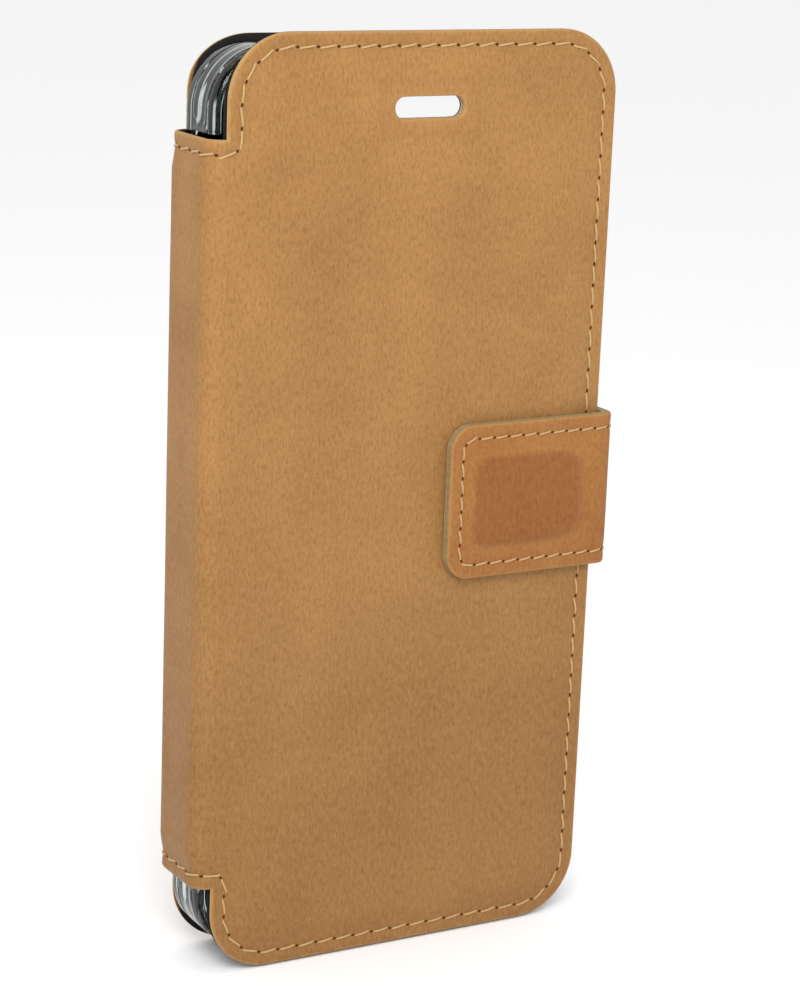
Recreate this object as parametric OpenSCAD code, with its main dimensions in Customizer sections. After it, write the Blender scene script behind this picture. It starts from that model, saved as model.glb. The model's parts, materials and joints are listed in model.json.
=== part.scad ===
// Folding leather phone case with card pockets and a magnetic strap.
// It stands on its lower edge: X is the width with the spine at -X, Y the thickness
// with the front cover at -Y, and Z the length.

/* [Phone] */
// Width of the phone that the tray holds
phone_w = 65.5; // [56:0.5:80]
// Length of the phone
phone_h = 138.2; // [118:0.2:166]
// Thickness of the phone
phone_t = 7.1; // [6:0.1:10]
// Clearance round the phone
phone_fit = 0.15; // [0.05:0.05:0.4]

/* [Tray] */
// Side wall of the clear tray
tray_wall = 0.9; // [0.7:0.1:1.6]
// Floor of the tray
tray_floor = 0.8; // [0.6:0.1:1.6]
// Thickness of the lip that snaps over the phone
lip_t = 0.7; // [0.5:0.1:1.2]
// How far the lip reaches inwards
lip_w = 0.8; // [0.5:0.1:1.6]
// Step that takes the corner off the tray's back edge
edge_step = 0.8; // [0.4:0.1:1]
// Outer corner radius of the tray
tray_corner_r = 9.5; // [8:0.5:14]
// Thickness of the adhesive pad under the tray
pad_t = 0.2; // [0.1:0.1:0.6]
// Distance from the tray's outline to the pad's outline
pad_inset = 12; // [8:1:16]
// Corner radius of the pad
pad_r = 3; // [1:0.5:6]
// Length of the opening for the plug and the loudspeaker
port_w = 42; // [30:1:48]
// Height of the side openings, across the thickness
port_t = 4.8; // [4.4:0.1:5.2]
// Length of the gap in the wall for the volume buttons
volume_l = 34; // [20:1:40]
// Top of the tray down to the middle of the volume gap
volume_drop = 29; // [28:1:40]
// Length of the opening for the power button
power_l = 14; // [10:1:18]
// Top of the tray down to the middle of the power opening
power_drop = 28; // [22:1:32]

/* [Panels] */
// Overhang of the panels past the tray, above and below
panel_over = 2.3; // [1:0.1:5]
// Set-back of the tray from the free edge of the panels
free_edge_gap = 0.2; // [0:0.1:1]
// How far the tray stands out past the fold edge of the panels
tray_out = 1.0; // [0.4:0.1:1.2]
// Corner radius of the panels
corner_r = 10; // [6:0.5:13]
// Thickness of the outer leather
leather_t = 0.9; // [0.7:0.1:1.4]
// Thickness of the board in the front cover
front_board_t = 0.5; // [0.3:0.1:1.2]
// Thickness of the board in the back
back_board_t = 0.7; // [0.5:0.1:1.4]
// Thickness of the inner lining
lining_t = 0.4; // [0.3:0.1:0.8]
// Width of the stitched border round the boards
border_w = 5; // [4:0.5:8]
// Space between the pockets and the tray when the case is shut
cover_gap = 0.4; // [0.2:0.1:1.5]

/* [Spine] */
// Space between the spine and the tray
spine_gap = 0.4; // [0.3:0.1:1.5]
// Step from the top of a panel down to the top of the spine
notch_top = 15.3; // [13.5:0.1:20]
// Step from the bottom of a panel up to the bottom of the spine
notch_bottom = 14.3; // [13.5:0.1:20]
// Thickness of the spine's stiffener
spine_board_t = 0.5; // [0.3:0.1:0.8]
// Play between two leather parts that meet in a fold
fold_play = 0.06; // [0.02:0.01:0.2]

/* [Openings] */
// Length of the earpiece slot
slot_w = 12; // [8:0.5:16]
// Height of the earpiece slot
slot_h = 3.3; // [2.5:0.1:4.5]
// Top of the panel down to the middle of the slot
slot_drop = 11.3; // [9:0.1:14]
// Length of the camera window
window_w = 29; // [20:1:32]
// Height of the camera window
window_h = 12; // [9:0.5:13]
// Free edge of the panel to the middle of the window
window_side = 18.8; // [17:0.1:24]
// Top of the panel down to the middle of the window
window_drop = 13.8; // [12:0.1:16]
// Corner radius of the camera window
window_r = 5; // [2:0.5:6]

/* [Pockets] */
// Thickness of one pocket sheet
pocket_t = 0.4; // [0.3:0.1:0.8]
// Set-back of the pockets from the edge of the panel
pocket_inset = 6; // [5:0.5:8]
// Top of the panel down to the mouth of the money pocket
money_drop = 29; // [24:1:34]
// Distance from one pocket mouth down to the next
card_step = 14; // [10:1:16]
// Corner radius of the pocket sheets
pocket_r = 3; // [1:0.5:5]
// Distance of the pockets' seam from their edge
pocket_seam_inset = 1.2; // [0.8:0.1:2]

/* [Strap] */
// Height of the strap
strap_h = 24.6; // [20:0.2:32]
// Reach of the tongue over the front, from the free edge of the panel
tongue_reach = 28.2; // [26:0.2:36]
// Corner radius of the tongue's end
tongue_r = 4; // [2:0.5:6]
// Thickness of the strap's leather
strap_leather_t = 0.9; // [0.7:0.1:1.4]
// Thickness of the strap's lining
strap_lining_t = 0.7; // [0.4:0.1:1]
// Space between the free edge of the panels and the strap's side
strap_side_gap = 0.5; // [0.5:0.1:1.5]
// Space between the front cover and the tongue
strap_front_gap = 0.3; // [0.2:0.1:1]
// Inner radius of the strap's front fold
strap_front_bend = 0.6; // [0.5:0.05:0.65]
// Inner radius of the strap's back fold
strap_back_bend = 0.4; // [0.2:0.1:0.4]
// Length of the strap's root, sewn in between leather and lining
root_l = 11; // [8:0.5:16]
// Clearance round the strap's root in the board
root_fit = 0.3; // [0.2:0.1:0.6]

/* [Magnet] */
// Length of the strap's magnet
magnet_w = 17.6; // [12:0.2:18]
// Height of the strap's magnet
magnet_h = 13.6; // [10:0.2:14]
// Thickness of the strap's magnet
magnet_t = 0.8; // [0.6:0.1:1.2]
// End of the tongue to the near edge of the magnet
magnet_side = 5.2; // [5:0.1:6]
// Leather that is pulled tight round the magnet
magnet_skin = 0.5; // [0.4:0.1:0.8]
// Clearance round the magnet and round its steel plate
magnet_fit = 0.1; // [0.05:0.05:0.3]

/* [Thread] */
// Distance of a seam from the edge
seam_inset = 2.2; // [1.8:0.1:3]
// Stitch pitch of the panels
stitch_pitch = 3.4; // [2.8:0.1:5]
// Stitch pitch of the strap
strap_pitch = 2.7; // [2.2:0.1:4]
// Thickness of the thread
thread_d = 0.5; // [0.3:0.1:0.8]
// How deep a stitch is pulled into the leather
thread_sink = 0.25; // [0.15:0.05:0.3]
// Clearance of a stitch in its dent
thread_fit = 0.05; // [0.02:0.01:0.1]
// Part of the pitch that lies on top as thread
thread_share = 0.72; // [0.5:0.02:0.85]
// Radius of the seam's turn from the panel into the spine
seam_turn_r = 2; // [1:0.1:2.2]

/* [Hidden] */
$fn = 64;
// Longer than the case, for shapes that cut it
big = 400;
// How far a cut runs past the face it starts from
past = 1;
// Overlap that joins two shapes, and the flat that keeps a round end from closing up
hair = 0.01;
// Smallest corner radius that an inset leaves
least_r = 1;

// Tray, outside
tray_w = phone_w + 2 * phone_fit + 2 * tray_wall;
tray_h = phone_h + 2 * phone_fit + 2 * tray_wall;
tray_d = tray_floor + phone_t + phone_fit + lip_t;
tray_x0 = -tray_out;
tray_z0 = panel_over;

// Panels
case_h = tray_h + 2 * panel_over;
panel_w = tray_w + free_edge_gap - tray_out;

// Layers from the front face (y = 0) to the back face (y = case_t)
front_lining_y = leather_t + front_board_t;
pockets_y = front_lining_y + lining_t;
tray_y = pockets_y + 4 * pocket_t + cover_gap;
pad_y = tray_y + tray_d;
back_lining_y = pad_y + pad_t;
back_board_y = back_lining_y + lining_t;
back_leather_y = back_board_y + back_board_t;
case_t = back_leather_y + leather_t;

// Spine
spine_z0 = notch_bottom;
spine_z1 = case_h - notch_top;
spine_layers = leather_t + spine_board_t + lining_t;
fold_r = tray_out + spine_gap + spine_layers;
front_fold = [0, fold_r];
back_fold = [0, case_t - fold_r];

// Strap
strap_t = strap_leather_t + strap_lining_t;
strap_z0 = (case_h - strap_h) / 2;
strap_z1 = strap_z0 + strap_h;
side_x = panel_w + strap_side_gap;
side_out_x = side_x + strap_t;
tongue_y = -strap_front_gap;
tongue_out_y = tongue_y - strap_t;
tongue_x = panel_w - tongue_reach;
strap_front_r = strap_front_bend + strap_t;
strap_back_r = strap_back_bend + strap_t;
strap_front_c = [side_out_x - strap_front_r, tongue_out_y + strap_front_r];
strap_back_c = [side_out_x - strap_back_r, back_leather_y - strap_back_r];
magnet_x = tongue_x + magnet_side;
magnet_z = (case_h - magnet_h) / 2;
magnet_y = tongue_y - strap_lining_t - magnet_t;
magnet_out_y = min(magnet_y - magnet_skin, tongue_out_y - magnet_fit);

// Middle of the whole case, which goes to X = 0, Y = 0
mid_x = (side_out_x - fold_r) / 2;
mid_y = (case_t + magnet_out_y) / 2;

// ---------------------------------------------------------------- helpers

// Puts the case's middle on the Z axis
module placed() {
    translate([-mid_x, -mid_y, 0]) children();
}

// A sheet parallel to the panels: its outline is drawn in X and Z
module sheet(y, t) {
    translate([0, y + t, 0]) rotate([90, 0, 0]) linear_extrude(t) children();
}

// A bar along Z: its section is drawn in X and Y
module bar(z0, z1) {
    translate([0, 0, z0]) linear_extrude(z1 - z0) children();
}

// A rectangle from corner a to corner b with rounded corners
module rounded(a, b, r) {
    translate([a[0] + r, a[1]]) square([b[0] - a[0] - 2 * r, b[1] - a[1]]);
    translate([a[0], a[1] + r]) square([b[0] - a[0], b[1] - a[1] - 2 * r]);
    for (x = [a[0] + r, b[0] - r], z = [a[1] + r, b[1] - r]) translate([x, z]) circle(r);
}

// Outline of a panel, moved inwards
module panel_outline(inset = 0) {
    rounded([inset, inset], [panel_w - inset, case_h - inset], max(corner_r - inset, least_r));
}

// Outline of the earpiece slot
module slot_outline() {
    rounded([(panel_w - slot_w) / 2, case_h - slot_drop - slot_h / 2],
            [(panel_w + slot_w) / 2, case_h - slot_drop + slot_h / 2], slot_h / 2 - hair);
}

// Outline of the camera window
module window_outline() {
    rounded([panel_w - window_side - window_w / 2, case_h - window_drop - window_h / 2],
            [panel_w - window_side + window_w / 2, case_h - window_drop + window_h / 2],
            min(window_r, window_h / 2 - hair));
}

// Section of everything inside the spine's outer face, moved inwards
module spine_section(depth) {
    rounded([depth - fold_r, depth], [case_t, case_t - depth], fold_r - depth);
}

// One layer of the spine between two depths
module spine_layer(outer, inner) {
    difference() {
        spine_section(outer);
        spine_section(inner);
        translate([0, -past]) square([big, case_t + 2 * past]);
    }
}

// Part of a fold's section that belongs to a panel; side -1 is the front, 1 the back
module panel_side(side) {
    c = side < 0 ? front_fold : back_fold;
    polygon([c, [c[0] - big, c[1] + side * big], [c[0] + big, c[1] + side * big],
             [c[0] + big, c[1]]]);
}

// Part of the folds' section that belongs to the spine
module spine_side() {
    a = front_fold + [0, 2 * fold_play];
    b = back_fold - [0, 2 * fold_play];
    polygon([a, b, b + [-big, big], a + [-big, -big]]);
}

// Section of a quarter fold of the strap, from radius inner to radius outer.
// The corner points to +X and to dir in Y, and half picks the panel half or the side half.
module strap_fold(c, dir, outer, inner, half) {
    play = half == "side" ? 2 * fold_play : 0;
    translate(c) intersection() {
        difference() {
            circle(outer);
            circle(inner);
        }
        if (half == "side") polygon([[0, 0], [big, 0], [big, dir * (big - play)], [play, 0]]);
        else polygon([[0, 0], [0, dir * big], [big, dir * big]]);
    }
}

// ---------------------------------------------------------------- seams

// A seam is a chain of straight stretches and arcs in X and Z:
// ["line", start, end] or ["arc", centre, radius, start angle, end angle]
function stretch_len(s) = s[0] == "line" ? norm(s[2] - s[1]) : abs(s[4] - s[3]) * PI / 180 * s[2];
function stretch_angle(s, d) = s[3] + (s[4] - s[3]) * d / stretch_len(s);
function stretch_point(s, d) = s[0] == "line"
    ? s[1] + (s[2] - s[1]) * d / norm(s[2] - s[1])
    : s[1] + s[2] * [cos(stretch_angle(s, d)), sin(stretch_angle(s, d))];
function stretch_turn(s, d) = s[0] == "line"
    ? atan2(s[2][1] - s[1][1], s[2][0] - s[1][0])
    : stretch_angle(s, d) + (s[4] > s[3] ? 90 : -90);
function seam_len(seam, i = 0) = i >= len(seam) ? 0 : stretch_len(seam[i]) + seam_len(seam, i + 1);
function seam_at(seam, d, i = 0) = i >= len(seam) - 1 || d <= stretch_len(seam[i])
    ? [stretch_point(seam[i], d), stretch_turn(seam[i], d)]
    : seam_at(seam, d - stretch_len(seam[i]), i + 1);

// One stitch along X, pulled into leather whose face is the plane y = 0, seen from -Y.
// With a fit it is the dent that such a stitch lies in, open at the face.
module stitch(pitch, fit = 0) {
    l = pitch * thread_share + 2 * fit;
    d = thread_d + 2 * fit;
    above = fit > 0 ? thread_sink : 0;
    translate([-l / 2, -above, -d / 2]) cube([l, above + thread_sink + fit, d]);
}

// Stitches along a seam on a sheet's face; out is -1 towards the front and 1 towards the back
module sew(seam, y, out, pitch, fit = 0) {
    total = seam_len(seam);
    n = floor(total / pitch);
    step = total / n;
    for (i = [0:n - 1]) {
        at = seam_at(seam, (i + 0.5) * step);
        translate([at[0][0], y, at[0][1]]) rotate([0, -at[1], 0])
            rotate([0, 0, out < 0 ? 0 : 180]) stitch(pitch, fit);
    }
}

// The seam round a panel, from the spine's top edge round the free edge to its bottom edge
seam_r = corner_r - seam_inset;
corner_z = case_h - corner_r;
corner_x = panel_w - corner_r;
turn_x = seam_inset - seam_turn_r;
turn_z1 = spine_z1 - turn_x;
turn_z0 = spine_z0 + turn_x;
panel_seam = [
    ["arc", [turn_x, turn_z1], seam_turn_r, -90, 0],
    ["line", [seam_inset, turn_z1], [seam_inset, corner_z]],
    ["arc", [corner_r, corner_z], seam_r, 180, 90],
    ["line", [corner_r, case_h - seam_inset], [corner_x, case_h - seam_inset]],
    ["arc", [corner_x, corner_z], seam_r, 90, 0],
    ["line", [panel_w - seam_inset, corner_z], [panel_w - seam_inset, corner_r]],
    ["arc", [corner_x, corner_r], seam_r, 0, -90],
    ["line", [corner_x, seam_inset], [corner_r, seam_inset]],
    ["arc", [corner_r, corner_r], seam_r, -90, -180],
    ["line", [seam_inset, corner_r], [seam_inset, turn_z0]],
    ["arc", [turn_x, turn_z0], seam_turn_r, 0, 90]
];

// The seam round the tongue, from the fold round the free end back to the fold
tongue_seam_r = tongue_r - seam_inset;
tongue_end_x = tongue_x + tongue_r;
tongue_seam = [
    ["line", [strap_front_c[0], strap_z1 - seam_inset], [tongue_end_x, strap_z1 - seam_inset]],
    ["arc", [tongue_end_x, strap_z1 - tongue_r], tongue_seam_r, 90, 180],
    ["line", [tongue_x + seam_inset, strap_z1 - tongue_r],
             [tongue_x + seam_inset, strap_z0 + tongue_r]],
    ["arc", [tongue_end_x, strap_z0 + tongue_r], tongue_seam_r, 180, 270],
    ["line", [tongue_end_x, strap_z0 + seam_inset], [strap_front_c[0], strap_z0 + seam_inset]]
];

// A straight seam across the spine or along the strap's side, drawn in Y at height z
module sew_side(x, y0, y1, z, out, pitch, fit = 0) {
    n = max(floor((y1 - y0) / pitch), 1);
    step = (y1 - y0) / n;
    for (i = [0:n - 1])
        translate([x, y0 + (i + 0.5) * step, z]) rotate([0, 0, out < 0 ? -90 : 90])
            stitch(pitch, fit);
}

// ---------------------------------------------------------------- back

// A panel's outer leather with its half of the fold; side -1 is the front, 1 the back
module panel_leather(side) {
    sheet(side < 0 ? 0 : back_leather_y, leather_t) difference() {
        panel_outline();
        if (side < 0) slot_outline();
        else window_outline();
    }
    bar(spine_z0, spine_z1) intersection() {
        spine_layer(0, leather_t);
        panel_side(side);
    }
}

// A panel's board, inside the stitched border
module panel_board(y, t) {
    sheet(y, t) difference() {
        panel_outline(border_w);
        children();
    }
}

// A panel's lining: flat over the board, and down on the leather in the border.
// board_t is the thickness of the board under it.
module panel_lining(side, board_y, board_t) {
    edge_y = side < 0 ? board_y : back_board_y + board_t - lining_t;
    difference() {
        union() {
            sheet(edge_y, lining_t) panel_outline();
            sheet(side < 0 ? board_y : board_y - lining_t, board_t + lining_t)
                panel_outline(border_w - lining_t);
        }
        sheet(board_y, board_t) panel_outline(border_w);
    }
    bar(spine_z0, spine_z1) intersection() {
        spine_layer(leather_t, spine_layers);
        panel_side(side);
    }
}

module back_seam(fit = 0) {
    sew(panel_seam, case_t, 1, stitch_pitch, fit);
}

module back_leather() {
    color("peru") placed() difference() {
        panel_leather(1);
        back_seam(thread_fit);
    }
}

module back_board() {
    color("tan") placed() panel_board(back_board_y, back_board_t) {
        union() {
            window_outline();
            root_outline(root_fit);
        }
    }
}

module back_lining() {
    color("dimgray") placed() difference() {
        panel_lining(1, back_board_y, back_board_t);
        sheet(back_lining_y - past, case_t) window_outline();
        sheet(back_board_y, back_board_t) root_outline(root_fit);
    }
}

// The pad ends half a window's height below the window
module tray_pad() {
    color("white") placed() sheet(pad_y, pad_t)
        rounded([tray_x0 + pad_inset, tray_z0 + pad_inset],
                [tray_x0 + tray_w - pad_inset, case_h - window_drop - window_h], pad_r);
}

// ---------------------------------------------------------------- tray

// Outline of the tray, moved inwards
module tray_outline(inset = 0) {
    rounded([tray_x0 + inset, tray_z0 + inset],
            [tray_x0 + tray_w - inset, tray_z0 + tray_h - inset], tray_corner_r - inset);
}

// The lower end has a window for the plug and the free side one for the power button; the gap
// for the volume buttons, on the spine's side, is open towards the front
module phone_tray() {
    port_y = tray_y + (tray_d - port_t) / 2;
    top = tray_z0 + tray_h;
    cut_t = tray_wall + 2 * past;
    color("lightsteelblue", 0.6) placed() difference() {
        union() {
            sheet(tray_y, tray_d - edge_step) tray_outline();
            sheet(tray_y, tray_d) tray_outline(edge_step);
        }
        sheet(tray_y - past, tray_d - tray_floor + past) tray_outline(tray_wall + lip_w);
        sheet(tray_y + lip_t, phone_t + phone_fit - edge_step) tray_outline(tray_wall);
        sheet(pad_y - tray_floor - past, tray_floor + 2 * past) window_outline();
        translate([tray_x0 + (tray_w - port_w) / 2, port_y, tray_z0 - past])
            cube([port_w, port_t, cut_t]);
        translate([tray_x0 - past, tray_y - past, top - volume_drop - volume_l / 2])
            cube([cut_t + lip_w, port_y - tray_y + port_t + past, volume_l]);
        translate([tray_x0 + tray_w - tray_wall - past, port_y, top - power_drop - power_l / 2])
            cube([cut_t, port_t, power_l]);
    }
}

module back_stitching() {
    color("khaki") placed() back_seam();
}

// ---------------------------------------------------------------- spine

module spine_seams(fit = 0) {
    for (z = [spine_z0 + seam_inset, spine_z1 - seam_inset])
        sew_side(-fold_r, fold_r, case_t - fold_r, z, -1, stitch_pitch, fit);
}

module spine_leather() {
    color("peru") placed() difference() {
        bar(spine_z0, spine_z1) intersection() {
            spine_layer(0, leather_t);
            spine_side();
        }
        spine_seams(thread_fit);
    }
}

// Section of the spine's stiffener, on the flat between the folds
module spine_board_section() {
    translate([leather_t - fold_r, fold_r])
        square([spine_board_t, case_t - 2 * fold_r]);
}

module spine_board() {
    color("tan") placed() bar(spine_z0 + border_w, spine_z1 - border_w) spine_board_section();
}

module spine_lining() {
    color("dimgray") placed() difference() {
        bar(spine_z0, spine_z1) intersection() {
            spine_layer(leather_t, spine_layers);
            spine_side();
        }
        bar(spine_z0 + border_w, spine_z1 - border_w) spine_board_section();
    }
}

module spine_stitching() {
    color("khaki") placed() spine_seams();
}

// ---------------------------------------------------------------- front cover

module front_seam(fit = 0) {
    sew(panel_seam, 0, -1, stitch_pitch, fit);
}

module front_leather() {
    color("peru") placed() difference() {
        panel_leather(-1);
        front_seam(thread_fit);
    }
}

// Outline of the steel plate in the front board, opposite the strap's magnet
module plate_outline(fit = 0) {
    translate([magnet_x - fit, magnet_z - fit]) square([magnet_w + 2 * fit, magnet_h + 2 * fit]);
}

module front_board() {
    color("tan") placed() panel_board(leather_t, front_board_t) {
        union() {
            slot_outline();
            plate_outline(magnet_fit);
        }
    }
}

module front_lining() {
    color("dimgray") placed() difference() {
        panel_lining(-1, leather_t, front_board_t);
        sheet(leather_t - past, pockets_y - leather_t + 2 * past) slot_outline();
    }
}

module closing_plate() {
    color("silver") placed() sheet(leather_t, front_board_t) plate_outline();
}

// One pocket sheet: layer 0 is the money pocket, 1 to 3 are the card slots
module pocket(layer) {
    top = case_h - money_drop - layer * card_step;
    sheet(pockets_y + layer * pocket_t, pocket_t)
        rounded([pocket_inset, pocket_inset], [panel_w - pocket_inset, top], pocket_r);
}

module money_pocket() {
    color("sienna") placed() pocket(0);
}

module card_slot_top() {
    color("peru") placed() pocket(1);
}

module card_slot_middle() {
    color("peru") placed() pocket(2);
}

// Seams down both sides and along the foot of the lowest card slot
module pocket_seams(fit = 0) {
    a = pocket_inset + pocket_seam_inset;
    b = panel_w - a;
    mouth = case_h - money_drop - 3 * card_step - pocket_r;
    seams = [["line", [a, mouth], [a, a]], ["line", [a, a], [b, a]], ["line", [b, a], [b, mouth]]];
    for (s = seams) sew([s], pockets_y + 4 * pocket_t, 1, stitch_pitch, fit);
}

module card_slot_bottom() {
    color("peru") placed() difference() {
        pocket(3);
        pocket_seams(thread_fit);
    }
}

module pocket_stitching() {
    color("khaki") placed() pocket_seams();
}

module front_stitching() {
    color("khaki") placed() front_seam();
}

// ---------------------------------------------------------------- strap

// Outline of the strap's root, which lies in the back and just meets its step outside
module root_outline(fit = 0) {
    translate([panel_w - root_l - fit, strap_z0 - fit])
        square([root_l + fit + hair, strap_h + 2 * fit]);
}

module strap_root() {
    color("chocolate") placed() {
        sheet(back_board_y, back_board_t) root_outline();
        bar(strap_z0, strap_z1) {
            translate([panel_w, back_leather_y - strap_t])
                square([strap_back_c[0] - panel_w, strap_t]);
            strap_fold(strap_back_c, 1, strap_back_r, strap_back_r - strap_t, "panel");
        }
    }
}

// Section of one layer of the strap's side, from depth outer to depth inner
module side_section(outer, inner) {
    strap_fold(strap_back_c, 1, strap_back_r - outer, strap_back_r - inner, "side");
    strap_fold(strap_front_c, -1, strap_front_r - outer, strap_front_r - inner, "side");
    translate([side_out_x - inner, strap_front_c[1]])
        square([inner - outer, strap_back_c[1] - strap_front_c[1]]);
}

module side_seams(fit = 0) {
    for (z = [strap_z0 + seam_inset, strap_z1 - seam_inset])
        sew_side(side_out_x, strap_front_c[1], strap_back_c[1], z, 1, strap_pitch, fit);
}

module strap_side_leather() {
    color("chocolate") placed() difference() {
        bar(strap_z0, strap_z1) side_section(0, strap_leather_t);
        side_seams(thread_fit);
    }
}

module strap_side_lining() {
    color("dimgray") placed() bar(strap_z0, strap_z1) side_section(strap_leather_t, strap_t);
}

module strap_side_stitching() {
    color("khaki") placed() side_seams();
}

// Outline of the tongue: round at its free end, square at the fold
module tongue_outline() {
    x1 = strap_front_c[0];
    translate([tongue_x + tongue_r, strap_z0]) square([x1 - tongue_x - tongue_r, strap_h]);
    translate([tongue_x, strap_z0 + tongue_r]) square([tongue_r, strap_h - 2 * tongue_r]);
    for (z = [strap_z0 + tongue_r, strap_z1 - tongue_r])
        translate([tongue_x + tongue_r, z]) circle(tongue_r);
}

module tongue_stitches(fit = 0) {
    sew(tongue_seam, tongue_out_y, -1, strap_pitch, fit);
}

module strap_tongue_leather() {
    color("chocolate") placed() difference() {
        union() {
            sheet(tongue_out_y, strap_leather_t) tongue_outline();
            sheet(magnet_out_y, tongue_out_y - magnet_out_y + hair)
                plate_outline(magnet_fit + magnet_skin);
            bar(strap_z0, strap_z1) strap_fold(strap_front_c, -1, strap_front_r,
                                               strap_front_r - strap_leather_t, "tongue");
        }
        sheet(magnet_y - magnet_fit, magnet_t + magnet_fit) plate_outline(magnet_fit);
        tongue_stitches(thread_fit);
    }
}

module strap_tongue_lining() {
    color("dimgray") placed() {
        sheet(tongue_out_y + strap_leather_t, strap_lining_t) tongue_outline();
        bar(strap_z0, strap_z1) strap_fold(strap_front_c, -1, strap_front_r - strap_leather_t,
                                           strap_front_r - strap_t, "tongue");
    }
}

module strap_magnet() {
    color("gray") placed() sheet(magnet_y, magnet_t) plate_outline();
}

module strap_tongue_stitching() {
    color("khaki") placed() tongue_stitches();
}

// ---------------------------------------------------------------- output

back_leather();
back_board();
back_lining();
tray_pad();
phone_tray();
strap_root();
back_stitching();
spine_leather();
spine_board();
spine_lining();
spine_stitching();
front_leather();
front_board();
front_lining();
closing_plate();
money_pocket();
card_slot_top();
card_slot_middle();
card_slot_bottom();
pocket_stitching();
front_stitching();
strap_side_leather();
strap_side_lining();
strap_side_stitching();
strap_tongue_leather();
strap_tongue_lining();
strap_magnet();
strap_tongue_stitching();
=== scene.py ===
# %% [markdown]
# # A folding leather phone case
# The real case is one long piece of leather that goes round a clear plastic tray: a front
# cover with card pockets, a narrow spine and a back, closed by a strap with a magnet.
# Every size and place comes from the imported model, so each piece lands where it belongs.
# X is the width with the spine at -X, Y the thickness with the cover at -Y, Z the length.

# %% Load the fixed model
import json
import math
import bmesh
import bpy
import numpy as np
from mathutils import Matrix, Vector, noise


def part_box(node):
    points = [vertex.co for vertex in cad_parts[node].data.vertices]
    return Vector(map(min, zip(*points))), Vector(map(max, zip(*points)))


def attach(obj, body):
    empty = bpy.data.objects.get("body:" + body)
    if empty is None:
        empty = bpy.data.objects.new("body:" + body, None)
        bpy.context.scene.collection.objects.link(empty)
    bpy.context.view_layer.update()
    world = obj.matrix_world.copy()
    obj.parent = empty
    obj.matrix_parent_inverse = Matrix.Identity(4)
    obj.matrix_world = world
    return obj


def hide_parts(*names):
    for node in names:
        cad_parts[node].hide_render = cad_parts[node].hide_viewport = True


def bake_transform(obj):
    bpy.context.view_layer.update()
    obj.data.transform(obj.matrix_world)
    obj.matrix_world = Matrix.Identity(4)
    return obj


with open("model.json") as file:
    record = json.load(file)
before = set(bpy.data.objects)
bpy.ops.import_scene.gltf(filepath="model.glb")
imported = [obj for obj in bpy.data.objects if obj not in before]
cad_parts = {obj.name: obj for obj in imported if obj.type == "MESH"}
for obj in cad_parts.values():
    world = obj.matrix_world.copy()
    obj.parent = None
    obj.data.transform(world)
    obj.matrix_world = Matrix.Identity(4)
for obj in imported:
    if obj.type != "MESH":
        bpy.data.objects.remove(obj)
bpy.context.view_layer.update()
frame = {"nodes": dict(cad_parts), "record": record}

# %% [markdown]
# Sizes are read off the model's parts, so nothing has to be fitted by eye. A part's box says
# where its faces are. The radius of a fold follows from its hinge, which lies on the outer
# face of the leather, halfway round the fold.

# %% Sizes of the case
MM = 0.001
X, Y, Z = 0, 1, 2
HALF_WAY = math.sqrt(0.5)


def low(node, axis):
    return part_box(node)[0][axis]


def high(node, axis):
    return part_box(node)[1][axis]


hinges = {j["name"]: Vector(j["pos_m"]) for j in frame["record"]["behaviour"]["joints"]}
front_y = low("front_leather", Y)
back_y = high("back_leather", Y)
case_t = back_y - front_y
case_h = high("back_leather", Z)
spine_x = low("spine_leather", X)
notches = (low("spine_leather", Z), high("spine_leather", Z))
fold_r = (hinges["cover_fold"].x - spine_x) / (1 - HALF_WAY)
fold_x = spine_x + fold_r
panel_w = high("back_leather", X) - fold_x
leather_t = low("front_board", Y) - front_y
front_inside = low("money_pocket", Y) - front_y
back_inside = back_y - high("tray_pad", Y)
spine_inside = high("spine_lining", X) - spine_x
spine_half = math.pi / 2 * fold_r + case_t / 2 - fold_r
corner_r = 10 * MM
border_w = 5 * MM
seam_inset = 2.2 * MM
stitch_pitch = 3.4 * MM
print(f"panels {panel_w / MM:.1f} x {case_h / MM:.1f} mm, case {case_t / MM:.2f} mm thick")

# %% [markdown]
# A leather panel is easiest to think of flat, as it was cut. Every sheet below is a grid drawn
# on the flat leather, with lines close together where something happens, such as a cut edge,
# a seam or a fold, and far apart elsewhere. One function makes such a list of lines.


# %% Lines of a flat grid
def grid_lines(start, end, step, details):
    """Lines from start to end, at most step apart, with extra ones round chosen places."""
    fixed = sorted({start, end} | {place for place, offsets in details if start < place < end})
    marks = list(fixed)
    for place, offsets in details:
        for offset in offsets:
            mark = place + offset
            if start < mark < end and min(abs(mark - m) for m in marks) > 0.06 * MM:
                marks.append(mark)
    marks.sort()
    lines = [marks[0]]
    for a, b in zip(marks, marks[1:]):
        count = max(1, math.ceil((b - a) / step - 1e-6))
        lines += [a + (b - a) * k / count for k in range(1, count + 1)]
    return np.array(lines)


def inwards(*distances):
    return [d * MM for d in distances]


def outwards(*distances):
    return [-d * MM for d in distances]


EDGE = (0.08, 0.2, 0.45, 0.8, 1.2, 1.6, 1.9, 2.2, 2.5, 2.8, 3.2, 3.7, 4.2, 4.6, 5, 5.6, 6.4)
HOLE = (0.08, 0.2, 0.45, 0.8, 1.3)


def ease(t):
    """0 below 0, 1 above 1 and a smooth S between."""
    t = np.clip(t, 0, 1)
    return t * t * (3 - 2 * t)


# %% [markdown]
# A grid has square corners, but leather is cut round. Each corner square of the grid is bent
# so that its square rings become round ones, which keeps every face a quad. The same trick,
# turned outwards and faded off, makes the round ends of the slot and the camera window. It
# gives far cleaner edges than cutting the holes out with a boolean.


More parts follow.
